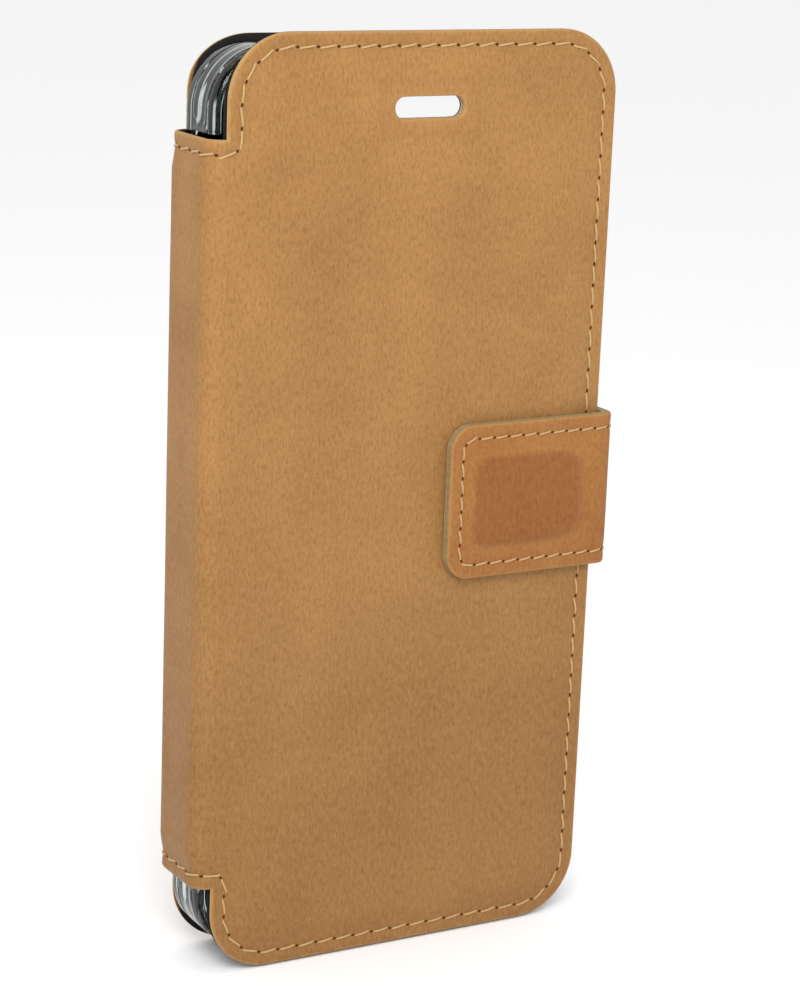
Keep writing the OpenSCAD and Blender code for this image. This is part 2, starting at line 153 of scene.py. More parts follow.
# %% Round corners and round holes
def bend_squares(p, z, centre, signs, radius, reach=None):
    """Turns the square rings round a corner's centre into round ones."""
    dx, dz = (p - centre[0]) * signs[0], (z - centre[1]) * signs[1]
    square = np.maximum(dx, dz)
    k = square / np.maximum(np.hypot(dx, dz), 1e-9)
    if reach:
        k = 1 + (k - 1) * (1 - ease((square - radius) / reach))
    inside = (dx > 0) & (dz > 0)
    return (np.where(inside, centre[0] + signs[0] * dx * k, p),
            np.where(inside, centre[1] + signs[1] * dz * k, z))


def round_outline(p, z, low_p, high_p, low_z, high_z, radius, ends=(-1, 1)):
    """Rounds the outer corners of a sheet, at one or both of its ends."""
    for sp in ends:
        for sz in (-1, 1):
            centre = (low_p + radius if sp < 0 else high_p - radius,
                      low_z + radius if sz < 0 else high_z - radius)
            p, z = bend_squares(p, z, centre, (sp, sz), radius)
    return p, z


def round_hole(p, z, hole):
    """Rounds the corners of a hole: (middle p, middle z, width, height, radius)."""
    mid_p, mid_z, width, height, radius = hole
    for sp in (-1, 1):
        for sz in (-1, 1):
            centre = (mid_p + sp * (width / 2 - radius), mid_z + sz * (height / 2 - radius))
            p, z = bend_squares(p, z, centre, (sp, sz), radius, reach=2.5 * MM)
    return p, z


def past_hole(p, z, hole):
    """How far a place lies outside a hole, below 0 in the hole."""
    mid_p, mid_z, width, height, _ = hole
    return np.maximum(np.abs(p - mid_p) - width / 2, np.abs(z - mid_z) - height / 2)


# %% [markdown]
# One builder turns any such grid into a closed sheet with a top face, an under face and cut
# edges. It stores two attributes on the points: "flat", the place on the flat leather in mm,
# and "inset", the distance to the nearest cut edge in mm. Materials read these, so a pattern
# stays on the leather when the case opens, which the object's own coordinates can't do.


# %% A sheet of leather or lining
def new_piece(name, mesh, materials):
    piece = bpy.data.objects.new(name, mesh)
    bpy.context.scene.collection.objects.link(piece)
    for material in materials:
        piece.data.materials.append(material)
    return piece


def face_outwards(mesh):
    """Turns every face of a closed mesh outwards."""
    work = bmesh.new()
    work.from_mesh(mesh)
    bmesh.ops.recalc_face_normals(work, faces=work.faces)
    work.to_mesh(mesh)
    work.free()


def build_sheet(name, p_lines, z_lines, kept, bend, inset, place, materials, past=None):
    """A closed sheet: place(p, z, outline, d) gives its outer and its inner points, where
    outline is the distance to the outline and d that to any cut edge, holes included.
    The last material goes on the cut edges and the one before it on the inner face."""
    p, z = np.meshgrid(p_lines, z_lines, indexing="ij")
    outline = inset(p, z)
    d = np.minimum(outline, np.maximum(past(p, z), 0)) if past else outline
    bent_p, bent_z = bend(p, z)
    outer, inner = place(bent_p, bent_z, outline, d)
    mid_p = (p_lines[1:] + p_lines[:-1])[:, None] / 2
    mid_z = (z_lines[1:] + z_lines[:-1])[None, :] / 2
    cells = kept(mid_p + 0 * mid_z, mid_z + 0 * mid_p)
    number = np.arange(p.size).reshape(p.shape)
    a, b, c, e = number[:-1, :-1], number[1:, :-1], number[1:, 1:], number[:-1, 1:]
    top = np.stack([a[cells], b[cells], c[cells], e[cells]], axis=1)
    sides = np.concatenate([top[:, [0, 1]], top[:, [1, 2]], top[:, [2, 3]], top[:, [3, 0]]])
    keys = np.sort(sides, axis=1)
    keys = keys[:, 0].astype(np.int64) * p.size + keys[:, 1]
    _, first, counts = np.unique(keys, return_index=True, return_counts=True)
    rim = sides[first[counts == 1]]
    used = np.unique(top)
    new = np.full(p.size, -1)
    new[used] = np.arange(used.size)
    outer_co, inner_co = outer.reshape(-1, 3)[used], inner.reshape(-1, 3)[used]
    flat = np.stack([bent_p, 0 * bent_p, bent_z], axis=-1).reshape(-1, 3)[used] / MM
    d = d.reshape(-1)[used] / MM
    top = new[top]
    rim = new[rim]
    points, flats, insets = [outer_co, inner_co], [flat, flat + (0, 1, 0)], [d, d + 20]
    faces = [top, top[:, ::-1] + used.size]
    rim_points = np.unique(rim)
    rim_new = np.full(used.size, -1)
    rim_new[rim_points] = np.arange(rim_points.size)
    rows = [rim]
    start = 2 * used.size
    for share in (0.12, 0.5, 0.88):
        points.append(outer_co[rim_points] * (1 - share) + inner_co[rim_points] * share)
        flats.append(flat[rim_points] + (0, share, 0))
        insets.append(np.zeros(rim_points.size))
        rows.append(rim_new[rim] + start)
        start += rim_points.size
    rows.append(rim + used.size)
    edge = [np.stack([r[:, 1], r[:, 0], s[:, 0], s[:, 1]], axis=1) for r, s in zip(rows, rows[1:])]
    index = [np.zeros(len(top)), np.full(len(top), len(materials) - 2)]
    index += [np.full(len(rim), len(materials) - 1)] * len(edge)
    mesh = bpy.data.meshes.new(name)
    faces = np.concatenate(faces + edge)
    mesh.from_pydata(np.concatenate(points).tolist(), [], faces.tolist())
    mesh.polygons.foreach_set("material_index", np.concatenate(index).astype(np.int32))
    mesh.polygons.foreach_set("use_smooth", np.ones(len(faces), bool))
    flat_attribute = mesh.attributes.new("flat", "FLOAT_VECTOR", "POINT")
    flat_attribute.data.foreach_set("vector", np.concatenate(flats).astype(np.float32).ravel())
    inset_attribute = mesh.attributes.new("inset", "FLOAT", "POINT")
    inset_attribute.data.foreach_set("value", np.concatenate(insets).astype(np.float32))
    face_outwards(mesh)
    mesh.set_sharp_from_angle(angle=math.radians(50))
    print(f"{name}: {len(faces)} faces")
    return new_piece(name, mesh, materials)


# %% [markdown]
# ## Finishes
# Leather and lining share a few effects, so each effect is a node group that is built once and
# placed in the materials that use it, with its own values. A small helper adds a node, sets it
# up and wires its inputs in one line.


# %% Helpers for node trees
def add(tree, kind, inputs=(), **settings):
    """Adds a node; its inputs are plain values or the sockets that feed them."""
    made = tree.nodes.new(kind)
    for key, value in settings.items():
        setattr(made, key, value)
    for key, value in dict(inputs).items():
        if isinstance(value, bpy.types.NodeSocket):
            tree.links.new(value, made.inputs[key])
        else:
            made.inputs[key].default_value = value
    return made


def math_of(tree, operation, first, second=0.0, clamp=False):
    return add(tree, "ShaderNodeMath", {0: first, 1: second}, operation=operation,
               use_clamp=clamp).outputs[0]


def ramp(tree, value, low_end, high_end):
    """0 where value is at low_end, 1 at high_end, clamped."""
    made = add(tree, "ShaderNodeMapRange", {"Value": value, "From Min": low_end,
                                            "From Max": high_end}, clamp=True)
    return made.outputs["Result"]


def mixed(tree, share, first, second):
    made = add(tree, "ShaderNodeMix", data_type="RGBA")
    for key, value in (("Factor_Float", share), ("A_Color", first), ("B_Color", second)):
        socket = next(s for s in made.inputs if s.identifier == key)
        if isinstance(value, bpy.types.NodeSocket):
            tree.links.new(value, socket)
        else:
            socket.default_value = value
    return next(s for s in made.outputs if s.identifier == "Result_Color")


def group(name, inputs, outputs):
    """An empty node group with named sockets, and its two end nodes."""
    made = bpy.data.node_groups.new(name, "ShaderNodeTree")
    for label, kind, value in inputs:
        socket = made.interface.new_socket(label, in_out="INPUT", socket_type=kind)
        if value is not None:
            socket.default_value = value
    for label, kind in outputs:
        made.interface.new_socket(label, in_out="OUTPUT", socket_type=kind)
    return made, made.nodes.new("NodeGroupInput").outputs, made.nodes.new("NodeGroupOutput").inputs


def use(tree, node_group, inputs):
    return add(tree, "ShaderNodeGroup", inputs, node_tree=node_group).outputs


def colour(red, green, blue):
    """A colour given as on a screen, 0 to 255, turned into Blender's linear values."""
    straight = [v / 255 for v in (red, green, blue)]
    return [v / 12.92 if v < 0.04045 else ((v + 0.055) / 1.055) ** 2.4 for v in straight] + [1]


FLOAT, VECTOR = "NodeSocketFloat", "NodeSocketVector"

# %% [markdown]
# Oiled, brushed leather shows three things at once: soft clouds a few centimetres wide where
# the oil has moved, a fine brushed grain well under a millimetre, and pores. Noise at three
# scales gives all of them. The group puts out masks and a height; each leather picks colours.


# %% Grain of oiled leather
def make_hide():
    made, given, result = group(
        "hide", [("Place", VECTOR, None), ("Cloud size", FLOAT, 24.0), ("Grain size", FLOAT, 0.5)],
        [("Clouds", FLOAT), ("Brushing", FLOAT), ("Specks", FLOAT), ("Pores", FLOAT),
         ("Height", FLOAT)])
    cloud_scale = math_of(made, "DIVIDE", 1.0, given["Cloud size"])
    grain_scale = math_of(made, "DIVIDE", 1.0, given["Grain size"])
    clouds = add(made, "ShaderNodeTexNoise", {"Vector": given["Place"], "Scale": cloud_scale,
                                              "Detail": 5.0, "Roughness": 0.6,
                                              "Distortion": 0.2}).outputs[0]
    brushed = add(made, "ShaderNodeMapping", {"Vector": given["Place"],
                                              "Scale": (1.9, 1.0, 0.8)}).outputs[0]
    brushing = add(made, "ShaderNodeTexNoise", {"Vector": brushed, "Scale": 0.85,
                                                "Detail": 7.0, "Roughness": 0.68}).outputs[0]
    upright = add(made, "ShaderNodeMapping", {"Vector": given["Place"],
                                              "Scale": (1.5, 1.0, 0.6)}).outputs[0]
    specks = add(made, "ShaderNodeTexNoise", {"Vector": upright, "Scale": 1.7,
                                              "Detail": 4.0, "Roughness": 0.7}).outputs[0]
    cells = add(made, "ShaderNodeTexVoronoi", {"Vector": given["Place"], "Scale": grain_scale,
                                               "Randomness": 1.0}, feature="SMOOTH_F1").outputs[0]
    fine = add(made, "ShaderNodeTexNoise", {"Vector": given["Place"], "Scale": grain_scale,
                                            "Detail": 5.0, "Roughness": 0.6}).outputs[0]
    pores = math_of(made, "MULTIPLY", ramp(made, fine, 0.56, 0.72), ramp(made, cells, 0.2, 0.75))
    height = math_of(made, "ADD", math_of(made, "MULTIPLY", cells, -0.5),
                     math_of(made, "MULTIPLY", fine, 0.9))
    made.links.new(ramp(made, clouds, 0.3, 0.7), result["Clouds"])
    made.links.new(ramp(made, brushing, 0.3, 0.72), result["Brushing"])
    made.links.new(ramp(made, specks, 0.46, 0.68), result["Specks"])
    made.links.new(pores, result["Pores"])
    made.links.new(math_of(made, "SUBTRACT", height, math_of(made, "MULTIPLY", pores, 0.5)),
                   result["Height"])
    return made


hide = make_hide()

# %% [markdown]
# A case that has been handled wears first along its cut edges, where the colour rubs pale.
# The sheets carry their distance to the edge as an attribute, so wear is a ramp of that
# distance, broken up with noise. Scuffs are thin streaks: noise stretched ten times one way
# and cut off high, so that only its crests are left.


# %% Edge wear and scuffs
def make_wear():
    made, given, result = group(
        "edge_wear", [("Place", VECTOR, None), ("Inset", FLOAT, 0.0), ("Width", FLOAT, 0.8)],
        [("Worn", FLOAT)])
    patches = add(made, "ShaderNodeTexNoise", {"Vector": given["Place"], "Scale": 0.5,
                                               "Detail": 4.0}).outputs[0]
    reach = math_of(made, "MULTIPLY", given["Width"], math_of(made, "MULTIPLY", patches, 2.0))
    share = math_of(made, "DIVIDE", given["Inset"], reach)
    made.links.new(math_of(made, "SUBTRACT", 1.0, share, clamp=True), result["Worn"])
    return made


def make_scuffs():
    made, given, result = group("scuffs", [("Place", VECTOR, None), ("Turn", FLOAT, 0.5)],
                                [("Marks", FLOAT)])
    turned = add(made, "ShaderNodeVectorRotate", {"Vector": given["Place"],
                                                  "Axis": (0, 1, 0), "Angle": given["Turn"]})
    stretched = add(made, "ShaderNodeMapping", {"Vector": turned.outputs[0],
                                                "Scale": (1.6, 1.0, 0.12)}).outputs[0]
    streaks = add(made, "ShaderNodeTexNoise", {"Vector": stretched, "Scale": 0.9,
                                               "Detail": 3.0}).outputs[0]
    where = add(made, "ShaderNodeTexNoise", {"Vector": given["Place"], "Scale": 0.06,
                                             "Detail": 2.0}).outputs[0]
    made.links.new(math_of(made, "MULTIPLY", ramp(made, streaks, 0.62, 0.78),
                           ramp(made, where, 0.5, 0.65)), result["Marks"])
    return made


edge_wear = make_wear()
scuffs = make_scuffs()


# %% [markdown]
# Every material starts the same way: a Principled shader with plain values for what is the
# same all over, such as sheen. Colour, roughness and bump are wired in afterwards.


# %% A new material
def new_material(name, **plain):
    """A material's node tree and its Principled shader, with plain values on the shader."""
    made = bpy.data.materials.new(name)
    made.use_nodes = True
    tree = made.node_tree
    shader = tree.nodes["Principled BSDF"]
    for key, value in plain.items():
        shader.inputs[key.replace("_", " ")].default_value = value
    return made, tree, shader.inputs


def bumped(tree, shader, height, strength, depth):
    made = add(tree, "ShaderNodeBump", {"Height": height, "Strength": strength,
                                        "Distance": depth})
    tree.links.new(made.outputs[0], shader["Normal"])


def attribute(tree, name, output="Vector"):
    return add(tree, "ShaderNodeAttribute", attribute_name=name).outputs[output]


# %% [markdown]
# The case's leather is tan, lighter where it is rubbed and browner where it is pressed, along
# the seam. The strap is cut from a redder part of the hide. One function makes both, with the
# colours as its inputs, because the finish is the same.


# %% Leathers
def make_leather(name, pale, deep, pore_and_foot_shade, rubbed, cloud_size=24.0, wear=0.5):
    made, tree, shader = new_material(name, Sheen_Weight=0.03, Sheen_Roughness=0.5,
                                      Specular_IOR_Level=0.22)
    place, inset = attribute(tree, "flat"), attribute(tree, "inset", "Fac")
    grain = use(tree, hide, {"Place": place, "Cloud size": cloud_size, "Grain size": 0.45})
    worn = use(tree, edge_wear, {"Place": place, "Inset": inset, "Width": wear})["Worn"]
    marks = use(tree, scuffs, {"Place": place, "Turn": 0.5})["Marks"]
    tone = mixed(tree, grain["Clouds"], deep, pale)
    height = add(tree, "ShaderNodeSeparateXYZ", {"Vector": place}).outputs["Z"]
    # painted shade: lower down the flat leather the colour is mixed towards the pore colour, so
    # the case darkens towards its bottom as if less lit there
    painted_foot_shade = math_of(tree, "MULTIPLY", ramp(tree, height, 105.0, 25.0), 0.42)
    tone = mixed(tree, painted_foot_shade, tone, pore_and_foot_shade)
    tone = mixed(tree, math_of(tree, "MULTIPLY", grain["Brushing"], 0.45), tone, rubbed)
    tone = mixed(tree, math_of(tree, "MULTIPLY", grain["Specks"], 0.45), tone, pore_and_foot_shade)
    pressed = math_of(tree, "MULTIPLY", math_of(tree, "SUBTRACT", 1.0, math_of(
        tree, "ABSOLUTE", math_of(tree, "SUBTRACT", inset, 2.3)), clamp=True), 0.22)
    tone = mixed(tree, pressed, tone, deep)
    raised_part = math_of(tree, "MULTIPLY", attribute(tree, "raised", "Fac"), 0.7)
    tone = mixed(tree, raised_part, tone, mixed(tree, grain["Brushing"], pore_and_foot_shade, deep))
    tone = mixed(tree, math_of(tree, "MULTIPLY", grain["Pores"], 0.42), tone, pore_and_foot_shade)
    tone = mixed(tree, math_of(tree, "MULTIPLY", marks, 0.45), tone, rubbed)
    tone = mixed(tree, math_of(tree, "MULTIPLY", worn, 0.6), tone, rubbed)
    tree.links.new(tone, shader["Base Color"])
    rough = add(tree, "ShaderNodeMapRange", {"Value": grain["Clouds"], "To Min": 0.62,
                                             "To Max": 0.5}).outputs[0]
    tree.links.new(rough, shader["Roughness"])
    bumped(tree, shader, grain["Height"], 0.35, 0.12 * MM)
    return made


tan_leather = make_leather("tan_leather", pale=colour(154, 111, 60), deep=colour(132, 90, 45),
                           pore_and_foot_shade=colour(97, 60, 25), rubbed=colour(168, 129, 80))
strap_leather = make_leather("strap_leather", pale=colour(152, 103, 50),
                             deep=colour(135, 82, 34), pore_and_foot_shade=colour(105, 57, 20),
                             rubbed=colour(162, 119, 68), cloud_size=14.0)
pocket_leather = make_leather("pocket_leather", pale=colour(143, 98, 50),
                              deep=colour(122, 78, 35), pore_and_foot_shade=colour(90, 51, 20),
                              rubbed=colour(159, 120, 73), wear=0.3)

# %% [markdown]
# The cut side of leather isn't tanned like its face: it is paler and shows layers of fibre.
# The layers are bands across the thickness, which the "flat" attribute counts in its Y, bent
# by noise. The strap's edge is painted, so it is greyer and duller.


# %% Cut edges
def make_cut_edge(name, pale, deep):
    made, tree, shader = new_material(name, Roughness=0.82, Specular_IOR_Level=0.2)
    place = attribute(tree, "flat")
    stretched = add(tree, "ShaderNodeMapping", {"Vector": place, "Scale": (0.7, 5.0, 0.7)})
    fibres = add(tree, "ShaderNodeTexNoise", {"Vector": stretched.outputs[0], "Scale": 1.6,
                                              "Detail": 6.0, "Roughness": 0.65}).outputs[0]
    tree.links.new(mixed(tree, ramp(tree, fibres, 0.35, 0.65), deep, pale),
                   shader["Base Color"])
    bumped(tree, shader, fibres, 0.5, 0.1 * MM)
    return made


raw_edge = make_cut_edge("raw_edge", colour(196, 168, 112), colour(142, 110, 62))
painted_edge = make_cut_edge("painted_edge", colour(168, 148, 104), colour(108, 92, 60))
dark_edge = make_cut_edge("dark_edge", colour(48, 44, 40), colour(20, 19, 18))

# %% [markdown]
# The lining is a charcoal microfibre, brushed like suede. Its nap catches light at grazing
# angles, which is what Sheen is for, and fine noise breaks up the black.


# %% Lining
def make_suede(name, pale, deep):
    made, tree, shader = new_material(name, Roughness=0.92, Sheen_Weight=0.06,
                                      Sheen_Roughness=0.4, Specular_IOR_Level=0.2)
    place = attribute(tree, "flat")
    nap = use(tree, hide, {"Place": place, "Cloud size": 12.0, "Grain size": 0.22})
    tone = mixed(tree, nap["Clouds"], deep, pale)
    tone = mixed(tree, math_of(tree, "MULTIPLY", nap["Brushing"], 0.4), tone, pale)
    tree.links.new(tone, shader["Base Color"])
    bumped(tree, shader, nap["Height"], 0.4, 0.08 * MM)
    return made


lining = make_suede("lining", colour(34, 32, 31), colour(15, 14, 14))
strap_lining = make_suede("strap_lining", colour(132, 112, 80), colour(98, 80, 54))

# %% [markdown]
# Thread is two thin strands twisted together. At this size the twist is drawn by bump rather
# than modelled: each stitch stores how far along and how far round a point is, and a slanted
# wave over both makes the strands. Needle holes are matt discs, painted deep brown as the
# shade inside the holes.


# %% Thread and needle holes
def make_thread():
    made, tree, shader = new_material("thread", Roughness=0.7, Sheen_Weight=0.15)
    along, round_it = attribute(tree, "along", "Fac"), attribute(tree, "round", "Fac")
    turn = math_of(tree, "MULTIPLY", math_of(tree, "ADD", math_of(tree, "MULTIPLY", along, 3.5),
                                             round_it), 4 * math.pi)
    strands = math_of(tree, "ABSOLUTE", math_of(tree, "SINE", turn))
    # painted shade: the thread is painted darker in the grooves between the strands, where the
    # bump dips
    tone = mixed(tree, ramp(tree, strands, 0.0, 0.7), colour(134, 100, 54),
                 colour(190, 157, 103))
    tree.links.new(tone, shader["Base Color"])
    bumped(tree, shader, strands, 0.6, 0.06 * MM)
    return made


def make_painted_hole_shade():
    made, tree, shader = new_material("painted_hole_shade", Roughness=0.95, Specular_IOR_Level=0.05)
    place = add(tree, "ShaderNodeTexCoord").outputs["Object"]
    fuzz = add(tree, "ShaderNodeTexNoise", {"Vector": place, "Scale": 3000.0}).outputs[0]
    # painted shade: the disc is painted deep brown to stand for the shade inside the needle hole
    tree.links.new(mixed(tree, fuzz, colour(52, 30, 12), colour(86, 54, 24)),
                   shader["Base Color"])
    return made


thread = make_thread()
painted_hole_shade = make_painted_hole_shade()

# %% [markdown]
# The tray is clear hard plastic with a faint smoke tint. It needs real transmission, so that
# the dark lining shows through its walls, and a little surface waviness, because moulded
# plastic never reflects perfectly straight lines.


# %% Clear plastic
def make_clear_plastic():
    made, tree, shader = new_material("clear_shell", Transmission_Weight=1.0, IOR=1.5)
    place = add(tree, "ShaderNodeTexCoord").outputs["Object"]
    waves = add(tree, "ShaderNodeTexNoise", {"Vector": place, "Scale": 90.0, "Detail": 2.0})
    rub = add(tree, "ShaderNodeTexNoise", {"Vector": place, "Scale": 700.0, "Detail": 5.0})
    tone = mixed(tree, waves.outputs[0], colour(186, 202, 196), colour(212, 224, 219))
    tree.links.new(tone, shader["Base Color"])
    rough = add(tree, "ShaderNodeMapRange", {"Value": rub.outputs[0], "To Min": 0.02,
                                             "To Max": 0.12}).outputs[0]
    tree.links.new(rough, shader["Roughness"])
    bumped(tree, shader, waves.outputs[0], 0.1, 0.2 * MM)
    return made


clear_plastic = make_clear_plastic()

# %% [markdown]
# Four plain materials finish the hidden parts that the model already has right: the board,
# the glue pad, the steel plate and the magnet. They have no "flat" attribute, so their
# patterns use the object's own coordinates.


# %% Board, pad and metal
def make_board():
    made, tree, shader = new_material("board", Roughness=0.9)
    place = add(tree, "ShaderNodeTexCoord").outputs["Object"]
    pulp = add(tree, "ShaderNodeTexNoise", {"Vector": place, "Scale": 1200.0, "Detail": 6.0})
    tree.links.new(mixed(tree, pulp.outputs[0], colour(150, 128, 98), colour(196, 176, 144)),
                   shader["Base Color"])
    bumped(tree, shader, pulp.outputs[0], 0.4, 0.1 * MM)
    return made


def make_pad():
    made, tree, shader = new_material("pad", Roughness=0.5)
    place = add(tree, "ShaderNodeTexCoord").outputs["Object"]
    foam = add(tree, "ShaderNodeTexVoronoi", {"Vector": place, "Scale": 2500.0})
    tree.links.new(mixed(tree, foam.outputs[0], colour(214, 214, 210), colour(180, 180, 176)),
                   shader["Base Color"])
    bumped(tree, shader, foam.outputs[0], 0.3, 0.1 * MM)
    return made


def make_metal(name, pale, deep):
    made, tree, shader = new_material(name, Metallic=1.0)
    place = add(tree, "ShaderNodeTexCoord").outputs["Object"]
    stretched = add(tree, "ShaderNodeMapping", {"Vector": place, "Scale": (1.0, 1.0, 0.03)})
    brushed = add(tree, "ShaderNodeTexNoise", {"Vector": stretched.outputs[0],
                                               "Scale": 4000.0, "Detail": 3.0}).outputs[0]
    tree.links.new(mixed(tree, brushed, deep, pale), shader["Base Color"])
    rough = add(tree, "ShaderNodeMapRange", {"Value": brushed, "To Min": 0.25,
                                             "To Max": 0.45}).outputs[0]
    tree.links.new(rough, shader["Roughness"])
    return made


finish_of = {"board": make_board(), "pad": make_pad(),
             "steel": make_metal("steel", colour(206, 208, 210), colour(150, 152, 154)),
             "magnet": make_metal("magnet", colour(150, 152, 158), colour(104, 106, 112)),
             "tan_leather": tan_leather, "strap_leather": strap_leather,
             "pocket_leather": pocket_leather, "lining": lining, "strap_lining": strap_lining,
             "clear_shell": clear_plastic, "thread": thread}
for part in frame["record"]["subparts"]:
    solid = frame["nodes"][part["node"]]
    solid.data.materials.clear()
    solid.data.materials.append(finish_of[part["material_slot"]])
print("finishes:", ", ".join(finish_of))

# %% [markdown]
# ## The wrap
# The outer leather runs from the cover's free edge round the spine to the back's free edge.
# A point on it is given by p, its place along the leather from the fold, and by its depth
# under the outer face. This function rolls the flat leather round the two folds. The same
# function serves both halves, since the back is the front seen in a mirror. Only its upper
# end differs: soft leather settles, so the back ends a little lower than the cover.


# %% Roll the leather round the spine
def wrap(p, z, depth, side):
    """Places at p along and depth under the leather; side -1 is the front, 1 the back."""
    turn = np.clip(-p / fold_r, 0, math.pi / 2)
    down = np.maximum(-p - math.pi / 2 * fold_r, 0)
    x = fold_x + np.maximum(p, 0) - (fold_r - depth) * np.sin(turn)
    inside = fold_r - (fold_r - depth) * np.cos(turn) + down
    if side < 0:
        return np.stack([x, front_y + inside, z + 0 * x], axis=-1)
    lower = 1.4 * MM * np.clip((z - (case_h - 7 * MM)) / (7 * MM), 0, 1)
    return np.stack([x, back_y - inside, z - lower + 0 * x], axis=-1)


def wrap_out(p, side):
    """Which way the outer face looks at p."""
    turn = np.clip(-p / fold_r, 0, math.pi / 2)
    return np.stack([-np.sin(turn), side * np.cos(turn), 0 * turn], axis=-1)


def wrap_inset(p, z):
    """Distance to the nearest cut edge of the flat leather, with its two notches."""
    up = np.minimum(z - notches[0], notches[1] - z)
    beside = np.where(up > 0, np.hypot(np.maximum(p, 0), up), np.maximum(p, 0))
    on_panel = np.minimum(np.minimum(panel_w - p, beside), np.minimum(z, case_h - z))
    return np.where(p < 0, up, on_panel)


def on_wrap(p, z):
    return (p > 0) | ((z > notches[0]) & (z < notches[1]))


def bend_wrap(p, z):
    return round_outline(p, z, 0, panel_w, 0, case_h, corner_r)


# %% [markdown]
# What makes a sheet of leather look real is in its face: the seam pulls a groove, each stitch
# pulls a little deeper at its ends, the border is pressed thinner than the boarded middle,
# the cut edge is rounded, and the whole is never quite flat. All of it is one height that
# depends on the distance to the edge and on the place, added up here in plain steps.


# %% Relief of the leather
def rounding(d):
    """How far the face drops at a cut edge."""
    return 0.2 * MM * (1 - np.clip(d / (0.45 * MM), 0, 1)) ** 2.2


def groove(d, depth=0.16 * MM):
    """The channel that a seam pulls, at its distance from the edge."""
    return depth * np.exp(-((d - seam_inset) / (0.62 * MM)) ** 2)


def waviness(points, size, height):
    """Slow waves of hand-cut leather, the same in every run."""
    flat = points.reshape(-1, 3) / size
    waves = [noise.noise(Vector(q)) for q in flat]
    return np.array(waves).reshape(points.shape[:-1]) * height


BORDER_DROP = 0.34 * MM


def face_depth(p, z, d):
    """Depth of the outer face under the flat leather, for the wrap."""
    pressed = BORDER_DROP * (1 - ease((d - 2.9 * MM) / (2.9 * MM)))
    waves = waviness(np.stack([p, 0 * p, z], axis=-1), 26 * MM, 0.09 * MM)
    inner_part = ease((d - 1 * MM) / (4 * MM)) * ease((p + spine_half) / (6 * MM))
    return pressed + groove(d) + rounding(d) + waves * inner_part


# %% [markdown]
# ### Front cover and back
# The leather is one piece on the real case. Here it is split across the middle of the spine,
# because a sheet can bend over one hinge only. Both halves follow the spine exactly at the
# split, so no gap opens there. The earpiece slot is in the front, the camera window in the
# back.

# %% Outer leather
slot = (panel_w / 2, case_h - 11.3 * MM, 12 * MM, 3.3 * MM, 1.64 * MM)
window = (panel_w - 18.8 * MM, case_h - 13.8 * MM, 29 * MM, 12 * MM, 5 * MM)


def wrap_lines(hole, step):
    """Grid lines along and across the flat leather of one half."""
    mid_p, mid_z, width, height, _ = hole
    fold = -math.pi / 2 * fold_r
    p_lines = grid_lines(-spine_half, panel_w, step, [
        (0, inwards(*EDGE) + outwards(0.5, 1, 1.5, 2, 2.5, 3, 3.5, 4, 4.5)), (fold, [0.0]),
        (panel_w, outwards(*EDGE)),
        (mid_p - width / 2, outwards(*HOLE) + inwards(0.2, 0.5, 0.9, 1.3)),
        (mid_p + width / 2, inwards(*HOLE) + outwards(0.2, 0.5, 0.9, 1.3))])
    z_lines = grid_lines(0, case_h, step, [
        (0, inwards(*EDGE)), (case_h, outwards(*EDGE)),
        (notches[0], inwards(*EDGE)), (notches[1], outwards(*EDGE)),
        (mid_z - height / 2, outwards(*HOLE) + inwards(0.3, 0.7, 1.1, 1.5)),
        (mid_z + height / 2, inwards(*HOLE) + outwards(0.3, 0.7, 1.1, 1.5))])
    return p_lines, z_lines


def wrap_half(name, side, hole, outer, inner, step, materials):
    """Half of a sheet that wraps the case, with its hole."""
    def place(p, z, outline, d):
        return (wrap(p, z, outer(p, z, outline, d), side),
                wrap(p, z, inner(p, z, outline, d), side))

    return build_sheet(
        name, *wrap_lines(hole, step),
        kept=lambda p, z: on_wrap(p, z) & (past_hole(p, z, hole) > 0),
        bend=lambda p, z: round_hole(*bend_wrap(p, z), hole), inset=wrap_inset,
        place=place, materials=materials, past=lambda p, z: past_hole(p, z, hole))


def leather_face(p, z, outline, d):
    """The seam follows the outline only, so the holes get the rounding alone."""
    return face_depth(p, z, outline) - rounding(outline) + rounding(d)


def leather_back(p, z, outline, d):
    return leather_t + 0 * p


front_wrap = wrap_half("front_wrap_leather", -1, slot, leather_face, leather_back, 0.95 * MM,
                       [tan_leather, tan_leather, raw_edge])
back_wrap = wrap_half("back_wrap_leather", 1, window, leather_face, leather_back, 0.95 * MM,
                      [tan_leather, tan_leather, raw_edge])

# %% [markdown]
# ### Lining
# The lining is glued over the boards and steps down to the leather in the stitched border,
# so the board shows as a soft plateau on the inside. Where the strap's root is sewn in, the
# lining stays up at the level of the board and goes over the root.

# %% Lining of both halves
lining_t = 0.4 * MM
strap_z = (low("strap_side_leather", Z), high("strap_side_leather", Z))


def lining_face(panel_depth, over_root):
    def depth(p, z, outline, d):
        up = ease((outline - (border_w - 1.1 * MM)) / (1.1 * MM))
        if over_root:
            beside = np.minimum(z - strap_z[0], strap_z[1] - z)
            root = ease(beside / (1.5 * MM) + 1) * ease((p - panel_w + 14 * MM) / (3 * MM))
            up = np.maximum(up, root)
        border = leather_t + lining_t
        on_panel = border + (panel_depth - border) * up
        fold = np.maximum(p, 0) < 4 * MM
        towards = ease(-p / (2 * MM) + 1)
        deep = np.where(fold, on_panel + (spine_inside - on_panel) * towards, on_panel)
        at_ends = ease((outline - 1.5 * MM) / (3.5 * MM))
        spine = border + (spine_inside - border) * at_ends
        deep = np.where(p < 0, spine, deep)
        return deep - groove(outline, 0.1 * MM) - rounding(d) * 0.6

    return depth


